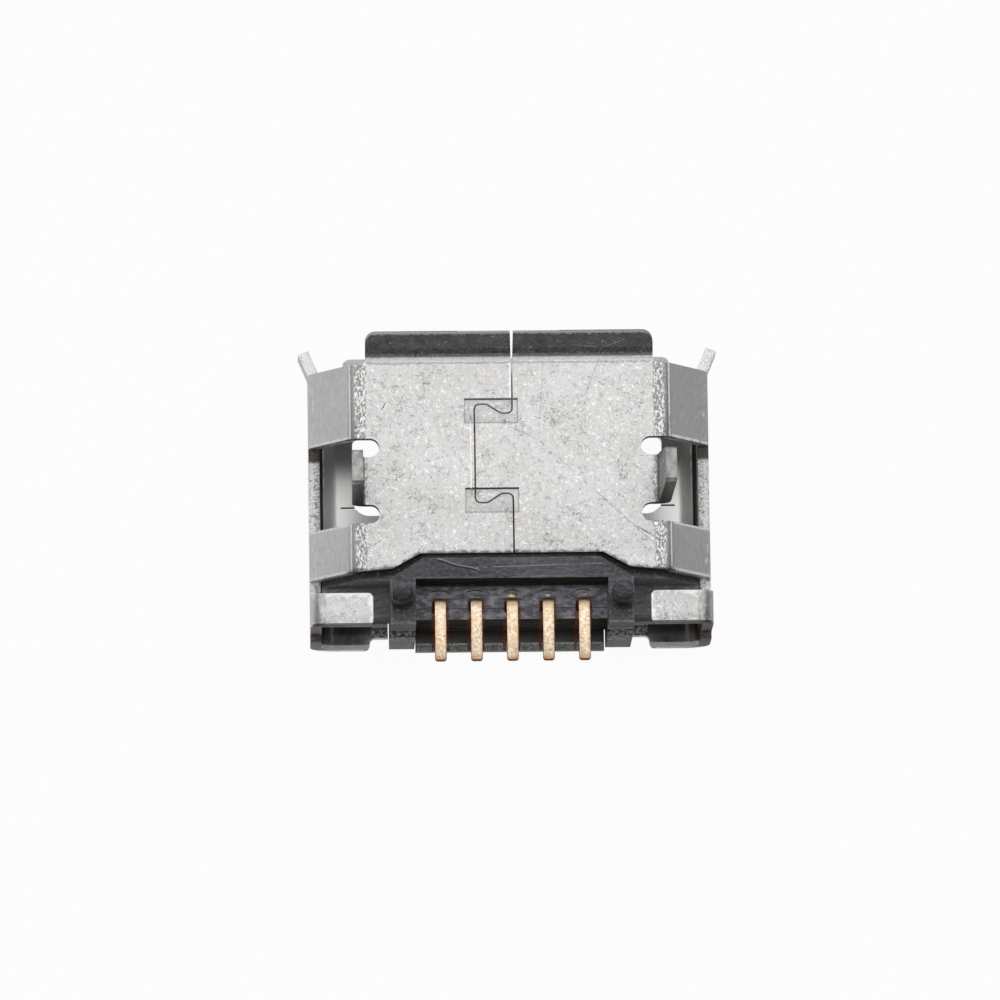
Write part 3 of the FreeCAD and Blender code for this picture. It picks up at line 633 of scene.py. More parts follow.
# %% [markdown]
# ## Plated sheet
#
# The shell is satin tin plate. It was rolled, nicked by tumbling in a barrel, and then folded, so
# each part of it looks different. The zones come first: the board-side wall and the feet stand
# high, the slopes and the flared lip are calmer than the wall, and the inside kept its dull skin.
# The functions that follow lay one group of marks each, in the order in which they came about.

# %% Zones of the sheet
WHITE = (1.0, 1.0, 0.99)


def sheet_zones(f):
    """Masks that several marks share. They are kept on the finish."""
    f.high = f.step(f.z, BOARD_PLANE, -0.16, -0.08)
    f.ahead = f.step(f.depth, BAR_BACK, 0.04, 0.0)
    f.slope = f.within(f.z, SILL + 0.1, BOARD_PLANE - 0.12, 0.08)
    walled = f.step(f.across, INNER_HALF, 0.09, 0.04)
    f.inside = f.all_of(f.band(f.z, COVER_INSIDE, -0.02, 0.16, 0.04), walled)
    f.inner_side = f.all_of(walled, f.step(f.z, COVER_INSIDE, -0.1, -0.04))
    f.lip = f.all_of(f.fade(f.depth, -0.06, -0.1), f.high)
    f.calm = f.either(f.slope, f.inside, f.times(f.lip, 0.45))
    f.busy = f.without(f.times(f.calm, 0.8))


print("zones ready")

# %% Rolled faces, nicks and smudges
SMUDGES = (
    # x, depth and radius in millimetres
    (0.75, 1.05, 0.42),
    (1.25, 0.75, 0.25),
    (-0.42, 1.75, 0.22),
    (-2.0, 0.75, 0.3),
    (1.0, 1.5, 0.2),
)


def roll_and_nick(f):
    """The flat faces: rolled along the sheet, softly clouded, smudged and nicked, with painted
    glints.
    """
    cloud = f.grain(0.45, 4.0)
    f.colour = f.ramp(cloud, [(0.34, (0.61, 0.602, 0.594)), (0.64, (0.665, 0.66, 0.656))])
    f.dim(1.0, f.grain(0.014, 2.0, (1.0, 50.0, 1.0)), 0.96)
    f.dusting = f.grain(0.024, 4.0, harsh=0.7)
    f.dim(1.0, f.dusting, 0.93)
    smudge = f.fade(f.grain(0.26, 3.0), 0.54, 0.68)
    smudge = f.either(smudge, *(f.near(*spot) for spot in SMUDGES))
    f.touch(0.4, (0.33, 0.325, 0.32), smudge, f.fade(f.dusting, 0.58, 0.42), f.busy)
    faint = f.grain(0.06, 2.0)
    nicks = f.either(f.strokes(0.12, 0.015, 0.56), f.strokes(0.07, 0.013, 0.58))
    f.nicks = f.all_of(nicks, f.either(smudge, f.fade(faint, 0.62, 0.35)))
    # White strokes and specks are painted glints, small highlights on the rolled face.
    painted_glints = f.either(f.strokes(0.12, 0.014, 0.56), f.strokes(0.08, 0.012, 0.57))
    painted_glints = f.all_of(painted_glints, f.fade(faint, 0.35, 0.7))
    glint_specks = f.fade(f.grain(0.018, 1.0), 0.69, 0.76)
    pores = f.fade(f.grain(0.018, 1.0), 0.31, 0.24)
    f.scratches = f.either(
        f.strokes(1.9, 0.012, 0.58, (1.0, 2.2, 1.0), 0.5),
        f.strokes(1.5, 0.01, 0.6, (1.0, 1.8, 1.0), -0.9),
    )
    dark_share = f.plus(f.times(smudge, 0.45), 0.45)
    f.touch(1.0, (0.24, 0.235, 0.23), f.nicks, f.busy, dark_share)
    f.touch(0.45, (0.26, 0.255, 0.25), pores, f.busy)
    f.touch(0.75, WHITE, painted_glints, f.busy)
    f.touch(0.5, WHITE, glint_specks, f.busy)
    f.touch(0.25, (0.28, 0.275, 0.27), f.scratches)
    f.touch(0.5, (0.76, 0.775, 0.765), f.slope)
    f.dim(f.slope, f.grain(0.02, 3.0, (1.0, 3.0, 3.0)), 0.84)
    # Painted shade: the board-side wall is painted slightly darker towards its rear.
    rear_shade = f.ramp(f.fade(f.depth, 2.0, 3.3), [(0.0, 1.0), (1.0, 0.93)])
    f.turn_to(f.high, f.mix(1.0, f.colour, rear_shade, "MULTIPLY"))


print(f"{len(SMUDGES)} smudges")

# %% Scars, crazing and folds
SCARS = (
    # both ends, each as x and depth in millimetres
    ((2.28, 3.1), (2.56, 3.29)),
    ((-2.3, 0.9), (-1.96, 0.42)),
)
DENT = (2.62, 3.055, 0.075)
PEEL_START = 2.64
PEEL_END = 2.8
RIDGE = 2.895


def craze_folds(f):
    """The plate is scarred, and crazed beside the long folds. A fold is painted darker as shade, but
    for one painted highlight line.
    """
    for start, end in SCARS:
        away, stretch = f.segment(start, end)
        stretch = f.all_of(stretch, f.high, f.fade(f.grain(0.06, 3.0), 0.42, 0.52))
        f.touch(0.75, (0.12, 0.12, 0.12), f.within(away, -0.01, 0.01, 0.01), stretch)
        f.touch(0.45, WHITE, f.within(away, 0.02, 0.03, 0.01), stretch)
    peel = f.all_of(f.within(f.across, PEEL_START, PEEL_END, 0.07), f.high, f.ahead)
    f.crazing = f.grain(0.03, 3.0, (1.0, 2.2, 1.0))
    crinkle = f.grain(0.015, 3.0, (1.0, 2.0, 1.0), harsh=0.6)
    f.touch(0.45, (0.52, 0.52, 0.515), peel)
    f.crazed = f.all_of(peel, f.fade(crinkle, 0.48, 0.4))
    f.touch(0.65, (0.2, 0.2, 0.195), f.crazed)
    f.touch(0.85, WHITE, peel, f.fade(crinkle, 0.56, 0.66))
    # A dent painted as a dark ring of shade round a painted highlight; it has no relief of its own.
    dent_shading = f.near(*DENT)
    f.touch(0.6, (0.14, 0.14, 0.135), f.within(dent_shading, 0.12, 0.45, 0.1), f.high)
    f.touch(0.8, WHITE, f.fade(dent_shading, 0.5, 0.7), f.high)
    # Painted shade on the fold between the crazed band and the ridge.
    dull = f.all_of(f.within(f.across, PEEL_END + 0.02, RIDGE, 0.02), f.high, f.ahead)
    f.touch(0.75, (0.43, 0.425, 0.42), dull)
    # Painted highlight lines along the ridge of the fold and across the lip's root.
    ridge = f.all_of(f.band(f.across, RIDGE, -0.012, 0.008, 0.01), f.high, f.ahead)
    lip_fold = f.all_of(f.within(f.depth, -0.018, 0.035, 0.018), f.high)
    lip_fold = f.all_of(lip_fold, f.ramp(f.crazing, [(0.35, 0.55), (0.55, 1.0)]))
    ridge = f.all_of(ridge, f.ramp(f.crazing, [(0.3, 0.5), (0.45, 1.0)]))
    f.polished = f.either(ridge, lip_fold)


print(f"{len(SCARS)} scars, crazed from {PEEL_START} to {PEEL_END} mm")

# %% Flared lip
LIP_RIM = 0.4


def scuff_lip(f):
    """Painted shadow behind the lip's root; the lip blotchy, darker near its root, scuffed pale and
    ragged at its tip.
    """
    lip_wide = f.all_of(f.step(f.across, LIP_HALF, 0.0, -0.05), f.high)
    worn_depth = f.wandering(f.depth, f.crazing, 0.05)
    # A thin line of painted shadow on the wall just behind the lip's fold.
    f.touch(0.55, (0.24, 0.235, 0.23), f.within(worn_depth, 0.095, 0.115, 0.014), lip_wide)
    f.dim(f.lip, f.grain(0.07, 4.0, (1.6, 1.0, 1.0), harsh=0.65), 0.55)
    f.lip_specks = f.all_of(f.lip, f.fade(f.grain(0.022, 2.0), 0.66, 0.74))
    f.touch(0.9, WHITE, f.lip_specks)
    # Darker patches on the lip near its root.
    root_dark_patches = f.all_of(f.within(f.depth, -0.16, -0.075, 0.03), f.high, f.fade(f.dusting, 0.6, 0.4))
    f.touch(0.6, (0.1, 0.095, 0.09), root_dark_patches)
    ragged = f.wandering(f.depth, f.crazing, 0.08)
    f.rim = f.all_of(f.fade(ragged, -LIP_RIM + 0.035, -LIP_RIM + 0.015), f.high)
    f.touch(0.9, (0.62, 0.58, 0.55), f.rim)


print(f"lip scuffed from {LIP_RIM:.2f} mm out")

# %% [markdown]
# The sheet's two ends meet in a keyed seam, which was pressed shut with two square stakes. Each
# stake left an outline in the plate, painted as a line of shade that is darkest at its front, and
# where the seam stands up it gets a painted highlight line.

# %% Seam and stakes
def stake_seam(f):
    first, second = STAKE_FRONTS
    for front in STAKE_FRONTS:
        gap = f.inside_of(f.x, STAKE_LEFT, STAKE_RIGHT, front, front + STAKE_LENGTH)
        # Each stake's outline is painted shade, darkest along its front edge.
        f.touch(0.5, (0.2, 0.195, 0.19), f.within(gap, -0.008, 0.01, 0.008), f.high)
        front_edge = f.within(f.depth, front - 0.01, front + 0.012, 0.008)
        front_edge = f.all_of(front_edge, f.within(f.x, STAKE_LEFT, STAKE_RIGHT, 0.01), f.high)
        f.touch(0.9, (0.07, 0.068, 0.065), front_edge)
    ahead_of_stakes = f.all_of(f.within(f.x, 0.0, 0.06, 0.01), f.fade(f.depth, first, first - 0.02))
    between_stakes = f.all_of(
        f.band(f.x, SEAM_LEFT, -0.055, -0.04, 0.008),
        f.within(f.depth, first + STAKE_LENGTH, second, 0.02),
    )
    # A painted highlight where the seam stands up.
    seam_highlight = f.all_of(f.either(between_stakes, ahead_of_stakes), f.high)
    f.touch(0.45, WHITE, seam_highlight, f.fade(f.depth, 0.06, 0.1))


print(f"{len(STAKE_FRONTS)} stakes")

# %% [markdown]
# Edges come next. The punch rolled a burr beside the windows, and round the two solder feet runs a
# rim; both get painted highlights, as do dots along the slopes' outer folds, and each foot's rear end
# gets painted shade. At the rear the sheet was torn, and the tear is brown.

# %% Burrs, feet, torn rear edge and legs
def burr_edges(f):
    # Painted highlights along the burrs and dots along the slopes' outer folds.
    burr = f.either(
        f.band(f.depth, WINDOW_FRONT, -0.045, 0.0, 0.01),
        f.band(f.depth, WINDOW_BACK, 0.0, 0.035, 0.01),
        f.band(f.depth, SLOPE_BACK, -0.045, 0.0, 0.01),
    )
    burr = f.all_of(burr, f.slope, f.fade(f.crazing, 0.36, 0.46))
    outer_fold = f.all_of(f.band(f.across, SHELL_HALF, -0.1, -0.05, 0.02), f.slope)
    dotted = f.fade(f.grain(0.04, 2.0, (1.0, 2.0, 1.0)), 0.54, 0.62)
    f.burr = f.either(burr, f.times(f.all_of(outer_fold, dotted), 0.7))
    foot_gap = f.inside_of(f.across, FOOT_INNER, SHELL_HALF + 1.0, FOOT_FRONT, FOOT_BACK)
    on_foot = f.all_of(f.fade(foot_gap, 0.0, 0.01), f.high)
    foot_rim = f.wandering(foot_gap, f.grain(0.07, 3.0), 0.26)
    # A painted highlight round the rim of each foot.
    pressed = f.all_of(f.fade(foot_rim, 0.22, 0.15), on_foot)
    f.touch(0.95, WHITE, f.either(f.burr, f.polished, f.times(pressed, 0.55)))
    foot_fold = f.all_of(f.band(f.across, SHELL_HALF, -0.27, -0.12, 0.04), on_foot)
    f.touch(0.55, (0.27, 0.275, 0.265), foot_fold, f.fade(f.crazing, 0.62, 0.45))
    # Painted shade along the foot's rolled rear end.
    foot_end = f.all_of(f.band(f.depth, FOOT_BACK, -0.035, 0.02, 0.012), f.high)
    f.touch(0.85, (0.07, 0.06, 0.055), foot_end)
    torn = f.wandering(rear_edge_gap(f), f.grain(0.07, 4.0, harsh=0.7), 0.22)
    torn = f.all_of(f.fade(torn, 0.18, 0.11), f.high, f.ahead)
    f.touch(0.85, (0.075, 0.062, 0.055), torn)


def streak_legs(f):
    """The board legs are dull and streaked up to their tips."""
    leg = f.all_of(
        f.step(f.z, BOARD_PLANE, 0.01, 0.05),
        f.step(f.depth, WINDOW_FRONT, 0.0, 0.1),
    )
    streaks = f.grain(0.03, 3.0, (1.0, 1.0, 5.0))
    f.turn_to(leg, f.ramp(streaks, [(0.35, (0.1, 0.095, 0.09)), (0.62, (0.34, 0.33, 0.32))]))


print(f"burrs at {WINDOW_FRONT}, {WINDOW_BACK} and {SLOPE_BACK} mm")

# %% [markdown]
# Through the windows and behind the housing the inner faces can be seen. There the sheet kept its
# dull rolled skin, painted darker towards each window's front as the slope's shadow. A dark line of
# painted shade, with a painted highlight beside it, lies in the fold at the foot of each side wall.
# Behind the housing the cover is painted dark as shade, and only the strip under the tails is pale
# and grainy.

# %% Inside of the shell
GROOVE_FROM = 3.372
GROOVE_TOP = 0.8
REAR_STRIP = 0.135
LUG_INNER = 2.22
LUG_STEP = 4.585


def dull_and_shaded_inside(f):
    """The skin that shows through the windows with its painted shadow, and painted shade and
    highlight in its fold.
    """
    # Painted shadow: the skin is darker towards the window's front, where the slope shades it.
    lit = f.step(f.depth, WINDOW_FRONT, 0.0, 1.1)
    f.touch(0.9, f.mix(lit, (0.3, 0.295, 0.285), (0.96, 0.95, 0.93)), f.inside)
    groove = f.all_of(
        f.step(f.z, GROOVE_TOP, 0.0, -0.1),
        f.step(f.across, INNER_HALF, 0.02, 0.005),
        f.inner_side,
        f.within(f.depth, WINDOW_FRONT - 0.15, WINDOW_BACK + 0.35, 0.1),
    )
    # A painted highlight beside the fold, and a line of painted shade in the fold.
    corner_highlight = f.band(f.across, GROOVE_FROM, -0.017, -0.006, 0.008)
    f.touch(0.8, WHITE, groove, corner_highlight, f.fade(f.crazing, 0.4, 0.5))
    corner_line_shade = f.all_of(groove, f.step(f.across, GROOVE_FROM, 0.0, 0.013))
    f.touch(0.97, (0.02, 0.017, 0.015), corner_line_shade)


def rear_shade_and_strip(f):
    """The cover behind the housing and its corners under the feet in painted shade, the strip under
    the tails, painted highlights on the lugs and the rear rim, and painted shade beside the contacts.
    """
    strip_front = COVER_BACK - REAR_STRIP
    # Painted shade on the cover behind the housing.
    behind = f.all_of(f.within(f.depth, POST_BACK - 0.28, strip_front, 0.012), f.inside)
    f.touch(0.95, (0.03, 0.028, 0.025), behind)
    under_foot = f.step(f.across, FOOT_INNER, -0.13, -0.07)
    # Painted shade on the inner corners under the feet.
    corner = f.all_of(
        f.step(f.depth, FOOT_BACK, -0.2, -0.1), under_foot,
        f.step(f.z, BOARD_PLANE, -0.5, -0.7), f.inner_side,
    )
    corner_shade_tone = f.ramp(f.grain(0.1, 3.0), [(0.36, (0.11, 0.1, 0.09)), (0.64, (0.26, 0.245, 0.225))])
    f.touch(0.95, corner_shade_tone, corner)
    f.strip = f.all_of(
        f.within(f.depth, strip_front, COVER_BACK + 0.1, 0.008), f.inside,
        f.step(f.across, FOOT_INNER, -0.2, -0.3),
    )
    f.turn_to(f.strip, f.ramp(f.dusting, [(0.38, (0.18, 0.21, 0.2)), (0.62, (0.52, 0.57, 0.55))]))
    strip_line = f.all_of(f.within(f.depth, strip_front, strip_front + 0.02, 0.01), f.strip)
    f.touch(0.8, (0.85, 0.86, 0.84), strip_line, f.fade(f.crazing, 0.4, 0.5))
    lug = f.all_of(f.within(f.across, LUG_INNER, FOOT_INNER, 0.02), f.inside)
    lug_tone = f.ramp(f.dusting, [(0.42, (0.03, 0.03, 0.028)), (0.6, (0.4, 0.39, 0.37))])
    f.turn_to(f.all_of(lug, f.step(f.depth, LUG_STEP, 0.015, 0.035)), lug_tone)
    # A painted highlight on the step of each lug.
    f.lug_shine = f.all_of(
        lug, f.band(f.depth, LUG_STEP, -0.085, 0.0, 0.012), f.fade(f.crazing, 0.36, 0.44),
    )
    f.touch(0.95, WHITE, f.lug_shine)
    # Painted shade of the slot gaps beside the contacts, red-brown, on the cover.
    gap_shade = f.all_of(beside_contacts(f), f.inside, f.step(f.depth, GAP_SHADE_FROM, 0.0, 0.1))
    f.touch(0.9, (0.26, 0.055, 0.018), gap_shade)
    # A painted highlight along the rear rim under each foot.
    rear_rim = f.wandering(f.depth, f.crazing, 0.04)
    f.rear_rim = f.all_of(
        f.step(rear_rim, FOOT_BACK, 0.045, 0.065), under_foot, f.fade(f.z, 0.75, 0.6),
    )
    f.touch(0.9, WHITE, f.rear_rim)


print(f"rear strip {REAR_STRIP} mm deep")

# %% [markdown]
# Colour alone doesn't make metal. A white line on a face that mirrors something dark would come out
# dark, so the painted highlights on burrs, folds and rims are set to be less metallic, and they show
# their painted white.
# The inner fold beside a side wall is treated the same way.

# %% Plated sheet
INNER_FOLD = 3.05


def plated_sheet():
    """All marks in their order, then how rough and how metallic each zone is."""
    f = Finish("plated_sheet")
    sheet_zones(f)
    roll_and_nick(f)
    craze_folds(f)
    scuff_lip(f)
    stake_seam(f)
    burr_edges(f)
    streak_legs(f)
    dull_and_shaded_inside(f)
    rear_shade_and_strip(f)

    roughness = f.ramp(f.dusting, [(0.35, 0.38), (0.65, 0.31)])
    roughness = f.mix(f.lip, roughness, 0.26)
    roughness = f.mix(f.either(f.rim, f.burr, f.polished), roughness, 0.7)
    roughness = f.mix(f.inside, roughness, 0.24)
    roughness = f.mix(f.strip, roughness, 0.65)
    inner_fold = f.all_of(
        f.step(f.across, INNER_FOLD, 0.0, 0.15), f.step(f.z, SILL, -0.05, -0.15),
        f.step(f.across, GROOVE_FROM, 0.013, 0.0), f.inner_side,
    )
    plain = f.either(
        f.burr, f.polished, f.times(f.inside, 0.4), f.rear_rim, f.lug_shine,
        f.times(f.lip_specks, 0.25), inner_fold,
    )
    f.feed(f.shader.inputs["Metallic"], f.without(plain))
    height = f.less(f.dusting, f.times(f.nicks, 0.6))
    height = f.less(height, f.times(f.scratches, 0.6))
    height = f.less(height, f.crazed)
    return f.surface(roughness, f.all_of(height, f.without(f.calm)), 0.004)


shell.data.materials.append(plated_sheet())
print(f"plated sheet: {len(shell.data.materials[0].node_tree.nodes)} nodes")

# %% [markdown]
# A sheared face is torn and streaked. Copper shows red-brown through it on the board-side wall,
# whose slit stays bright only where the stakes pressed it shut.

# %% Sheared side walls, legs and horns
def shear_sides(f):
    """The side walls are serrated inside with painted shade beside the window's front, the legs' tips
    blotchy.
    """
    sill = f.band(f.z, SILL, -0.04, 0.04, 0.01)
    teeth = f.fade(f.grain(0.018, 2.0, (2.5, 1.0, 1.0)), 0.5, 0.4)
    inner_half = f.step(f.across, SHELL_HALF, -0.085, -0.105)
    f.touch(0.6, (0.1, 0.095, 0.09), teeth, sill, inner_half, f.fade(f.depth, 1.0, 1.4))
    # Painted shade on the side wall's cut edge beside the window's front.
    window_front_shade = f.all_of(sill, f.band(f.depth, WINDOW_FRONT, -0.1, 0.2, 0.08))
    f.touch(0.9, (0.045, 0.035, 0.03), window_front_shade)
    horn = f.all_of(f.fade(f.depth, 0.2, 0.1), f.step(f.across, SHELL_HALF, -0.25, -0.15))
    f.touch(0.45, (0.98, 0.98, 0.97), horn)
    blotches = f.ramp(f.grain(0.08, 3.0), [(0.36, (0.3, 0.29, 0.28)), (0.6, (0.56, 0.55, 0.54))])
    f.turn_to(f.step(f.z, LEG_TOP, -0.1, -0.05), blotches)
    leg_side = f.within(f.z, BOARD_PLANE + 0.06, LEG_TOP - 0.1, 0.03)
    f.touch(0.7, (0.1, 0.09, 0.08), leg_side, f.fade(f.depth, 0.5, 0.6))


print("sheared sides ready")

# %% Sheared wall and cover
SEAM_HALF = 0.95
COVER_END_HALF = 2.7
SIDE_END = 2.9


def shear_wall(f):
    """The board-side wall's edges. Gives back a mask of where the seam was pressed shut."""
    first, second = STAKE_FRONTS
    wall_edge = f.within(f.z, BOARD_PLANE - SHEET, BOARD_PLANE + 0.04, 0.02)
    seam = f.all_of(f.step(f.across, SEAM_HALF, 0.0, -0.05), f.step(f.depth, WALL_BACK, -0.02, -0.06))
    open_seam = f.within(f.depth, first + STAKE_LENGTH, second, 0.02)
    pressed = f.all_of(seam, wall_edge, f.without(open_seam))
    f.touch(0.85, f.mix(pressed, (0.055, 0.028, 0.022), (0.9, 0.89, 0.88)), wall_edge)
    lip_edge = f.band(f.z, BOARD_PLANE, 0.06, 0.4, 0.02)
    f.touch(0.5, (0.36, 0.27, 0.22), lip_edge, f.fade(f.depth, 0.0, -0.05))
    return pressed


def shear_cover(f):
    """The cover's rear end is brown, and the slits of its spring fingers are dark."""
    wall_end = f.all_of(
        f.step(f.depth, FOOT_BACK, -0.05, 0.0), f.step(f.z, COVER_INSIDE, -0.05, 0.05),
        f.step(f.across, SIDE_END, 0.0, 0.2),
    )
    f.touch(0.9, (0.075, 0.055, 0.048), wall_end)
    cover_end = f.step(f.depth, COVER_BACK, -0.08, -0.03)
    f.touch(0.85, (0.12, 0.055, 0.035), cover_end, f.step(f.across, COVER_END_HALF, 0.0, -0.1))
    slit = f.band(f.depth, LATCH_SLIT, -0.03, 0.03, 0.005)
    f.touch(1.0, (0.008, 0.008, 0.008), slit, f.step(f.z, COVER_INSIDE, 0.01, 0.0))


def sheared_metal():
    f = Finish("sheared_metal")
    tear = f.grain(0.022, 4.0, (1.0, 1.0, 2.5), harsh=0.7)
    pits = f.fade(f.grain(0.045, 3.0), 0.42, 0.33)
    f.colour = f.ramp(tear, [(0.34, (0.54, 0.52, 0.5)), (0.62, (0.88, 0.87, 0.86))])
    f.touch(0.5, (0.13, 0.11, 0.1), pits)
    shear_sides(f)
    pressed = shear_wall(f)
    shear_cover(f)
    f.feed(f.shader.inputs["Metallic"], f.without(pressed))
    return f.surface(f.ramp(tear, [(0.3, 0.55), (0.7, 0.38)]), tear, 0.01)


shell.data.materials.append(sheared_metal())
mark_sheared(shell, SHEET * MM)

# %% [markdown]
# ## Moulded housing
#
# The housing is a glass-filled black moulding. It looks blue-grey under the lamps because of its
# satin skin, with fine grain, pale scuffs, painted highlights along the edges of what stands proud
# and a few long scratches. Its recess is frosted and painted paler as a sheen, with painted shade in
# its hollows, and the moulding shows a small arc in front of every contact, drawn in painted shade
# and highlight.

# %% Frosted recess, painted sheen and shade
RECESS_HALF = 1.8
REAR_FACE = 4.66
ARC_DEPTH = 4.14
ARC_HALF = 1.5


def frost_recess(f):
    """The recess is frosted and painted paler as a sheen, with an uneven painted highlight where it
    steps down, and painted shade on its rear face.
    """
    # The recess floor is frosted, and painted paler than the rest as a sheen.
    frost = f.band(f.z, RECESS_FLOOR, -0.06, 0.03, 0.02)
    f.frost = f.all_of(frost, f.step(f.depth, BAR_BACK, 0.0, 0.12))
    f.rough_floor = f.fade(f.grain(0.05, 3.0, (1.8, 1.0, 1.0)), 0.4, 0.62)
    f.touch(0.85, f.mix(f.rough_floor, (0.33, 0.33, 0.385), (0.78, 0.78, 0.89)), f.frost)
    uneven = f.wandering(f.depth, f.grain(0.06, 2.0), 0.06)
    # A painted highlight along the uneven step.
    step_highlight = f.band(uneven, RECESS_STEP, 0.02, 0.035, 0.012)
    f.touch(0.6, (0.55, 0.55, 0.6), f.frost, step_highlight)
    # Painted shade on the recess's rear face.
    rear_face_shade = f.all_of(
        f.step(f.z, RECESS_FLOOR, -0.1, -0.18),
        f.step(f.depth, REAR_FACE, -0.06, 0.0), f.middle,
    )
    f.touch(0.92, (0.016, 0.015, 0.013), rear_face_shade)


def arc_contacts(f):
    """A painted shadow along the bar's rear edge, and behind it an arc across every contact's line,
    drawn as a line of painted shade beside a painted highlight.
    """
    # A painted shadow along the bar's rear edge.
    bar_rear_shadow = f.all_of(
        f.band(f.depth, BAR_BACK, -0.03, 0.03, 0.01),
        f.step(f.z, BOARD_PLANE, -0.03, -0.06), f.middle,
    )
    f.touch(0.95, (0.012, 0.012, 0.012), bar_rear_shadow)
    offset = contact_offset(f)
    arc = f.less(f.depth, f.times(offset, offset, 1.4))
    span = f.all_of(
        f.fade(f.calculate("ABSOLUTE", offset), 0.155, 0.135), f.frost,
        f.step(f.across, ARC_HALF, 0.0, -0.02),
    )
    # Each arc is a line of painted shade beside a line of painted highlight.
    arc_shade = f.band(arc, ARC_DEPTH, -0.008, 0.008, 0.01)
    f.touch(0.85, (0.03, 0.03, 0.035), arc_shade, span)
    arc_highlight = f.band(arc, ARC_DEPTH, 0.025, 0.038, 0.01)
    f.touch(0.45, (0.85, 0.85, 0.92), arc_highlight, span)


print(f"arcs at {ARC_DEPTH} mm")

# %% Ledge, pegs and the step under the sheet
LEDGE = 1.43


def shade_hollows(f):
    """A ledge painted paler, painted shade on the pegs towards the rear, and a painted shadow in the
    step under the sheet.
    """
    # Painted light: the ledge is painted paler than the rest of the moulding.
    ledge = f.all_of(
        f.step(f.z, LEDGE, 0.03, 0.0), f.step(f.z, LEDGE, -0.23, -0.13),
        f.step(f.across, POST_HALF, -0.02, 0.0),
    )
    f.touch(0.75, (0.52, 0.52, 0.55), ledge)
    aside = f.less(f.across, PEG_HALF_PITCH)
    along = f.less(f.depth, PEG_DEPTH)
    reach = f.plus(f.calculate("POWER", aside, 2.0), f.calculate("POWER", along, 2.0))
    leaning = f.less(along, f.times(f.x, 0.03))
    # Painted shade on each peg's rear side and a painted shadow behind it.
    peg_shade = f.all_of(
        f.fade(leaning, -0.12, 0.16), f.fade(f.calculate("SQRT", reach), 0.38, 0.22),
        f.step(f.z, BOARD_PLANE, -0.1, -0.06),
    )
    f.touch(0.85, (0.018, 0.018, 0.02), peg_shade)
    # A painted shadow in the step under the board-side wall's rear edge.
    wall_edge_shadow = f.all_of(
        f.fade(rear_edge_gap(f), -0.14, -0.06),
        f.step(f.z, BOARD_PLANE, -0.08, -0.12),
        f.step(f.across, WALL_NOTCH_HALF, -0.15, 0.0),
    )
    f.touch(0.88, (0.014, 0.013, 0.013), wall_edge_shadow)


print(f"ledge at {LEDGE} mm")

# %% Cut faces and painted edge highlights
def highlight_edges(f):
    """Rough cut faces at the rear of the two posts, and painted highlights along the upper edges."""
    gritty = f.grain(0.035, 4.0, harsh=0.8)
    gritty = f.ramp(gritty, [(0.44, (0.04, 0.043, 0.042)), (0.6, (0.85, 0.88, 0.86))])
    cut = f.all_of(
        f.step(f.depth, POST_BACK, -0.02, -0.01),
        f.step(f.across, RECESS_HALF, -0.1, -0.04),
        f.step(f.z, RECESS_FLOOR, -0.08, -0.12),
        f.step(f.z, LEDGE, -0.31, -0.23),
    )
    f.touch(0.9, gritty, cut)
    # Painted highlights along the posts' rear edges, the bar's edges and the posts' sides.
    edge_highlight = f.wandering(f.depth, f.grain(0.08, 2.0), 0.03)
    edge_highlight = f.all_of(f.band(edge_highlight, POST_BACK, -0.025, 0.005, 0.01), f.top)
    bar_edges = f.either(
        f.band(f.depth, BAR_BACK, -0.03, -0.005, 0.012),
        f.band(f.depth, BAR_FRONT, 0.0, 0.02, 0.01),
    )
    patchy_line = f.fade(f.grain(0.1, 3.0, (3.0, 1.0, 1.0)), 0.4, 0.56)
    bar_edges = f.all_of(f.times(bar_edges, 0.6), f.top, f.middle, patchy_line)
    post_sides = f.all_of(f.band(f.across, POST_HALF, -0.03, 0.0, 0.012), f.top)
    f.touch(0.7, (0.5, 0.5, 0.52), f.either(edge_highlight, bar_edges, f.times(post_sides, 0.6)))


print("housing edges ready")

# %% Fibre, scuffs and scratches
GOUGE_DEPTH = 4.061
GOUGE_RISE = 0.27
GOUGE_SPAN = (-1.32, -0.6)
HAIR_DEPTH = 3.818
HAIR_RISE = 0.0246
HAIR_SPAN = (-0.63, 1.61)


def scratch_housing(f):
    """Glass fibre at the skin, scuffs, and the two scratches that cross the bar."""
    f.dim(1.0, f.fibre, 0.3)
    f.dim(f.top, f.grain(0.018, 3.0, (14.0, 1.0, 1.0)), 0.55)
    f.touch(0.4, (0.32, 0.32, 0.33), f.strokes(0.09, 0.012, 0.58, (1.8, 1.0, 1.0)))
    f.touch(0.6, (0.3, 0.3, 0.31), f.fade(f.grain(0.024, 2.0), 0.68, 0.76))
    wave = f.calculate("SINE", f.times(f.x, 11.0))
    gouge = f.wandering(f.times(f.x, GOUGE_RISE), wave, 0.01)
    gouge = f.less(f.depth, f.plus(gouge, GOUGE_DEPTH))
    span = f.all_of(f.within(f.x, *GOUGE_SPAN, 0.05), f.top)
    pale_side = f.all_of(f.within(gouge, -0.03, -0.014, 0.008), span)
    f.dark_side = f.all_of(f.within(gouge, -0.004, 0.016, 0.008), span)
    hair = f.wandering(f.depth, f.x, HAIR_RISE)
    hair = f.band(hair, HAIR_DEPTH, -0.004, 0.004, 0.008)
    hair = f.all_of(hair, f.within(f.x, *HAIR_SPAN, 0.05), f.top)
    broken = f.fade(f.grain(0.08, 2.0), 0.36, 0.52)
    f.touch(0.6, (0.5, 0.5, 0.52), f.either(pale_side, hair), broken)
    f.touch(0.8, (0.015, 0.015, 0.016), f.dark_side)


print(f"gouge at {GOUGE_DEPTH} mm, hair line at {HAIR_DEPTH} mm")

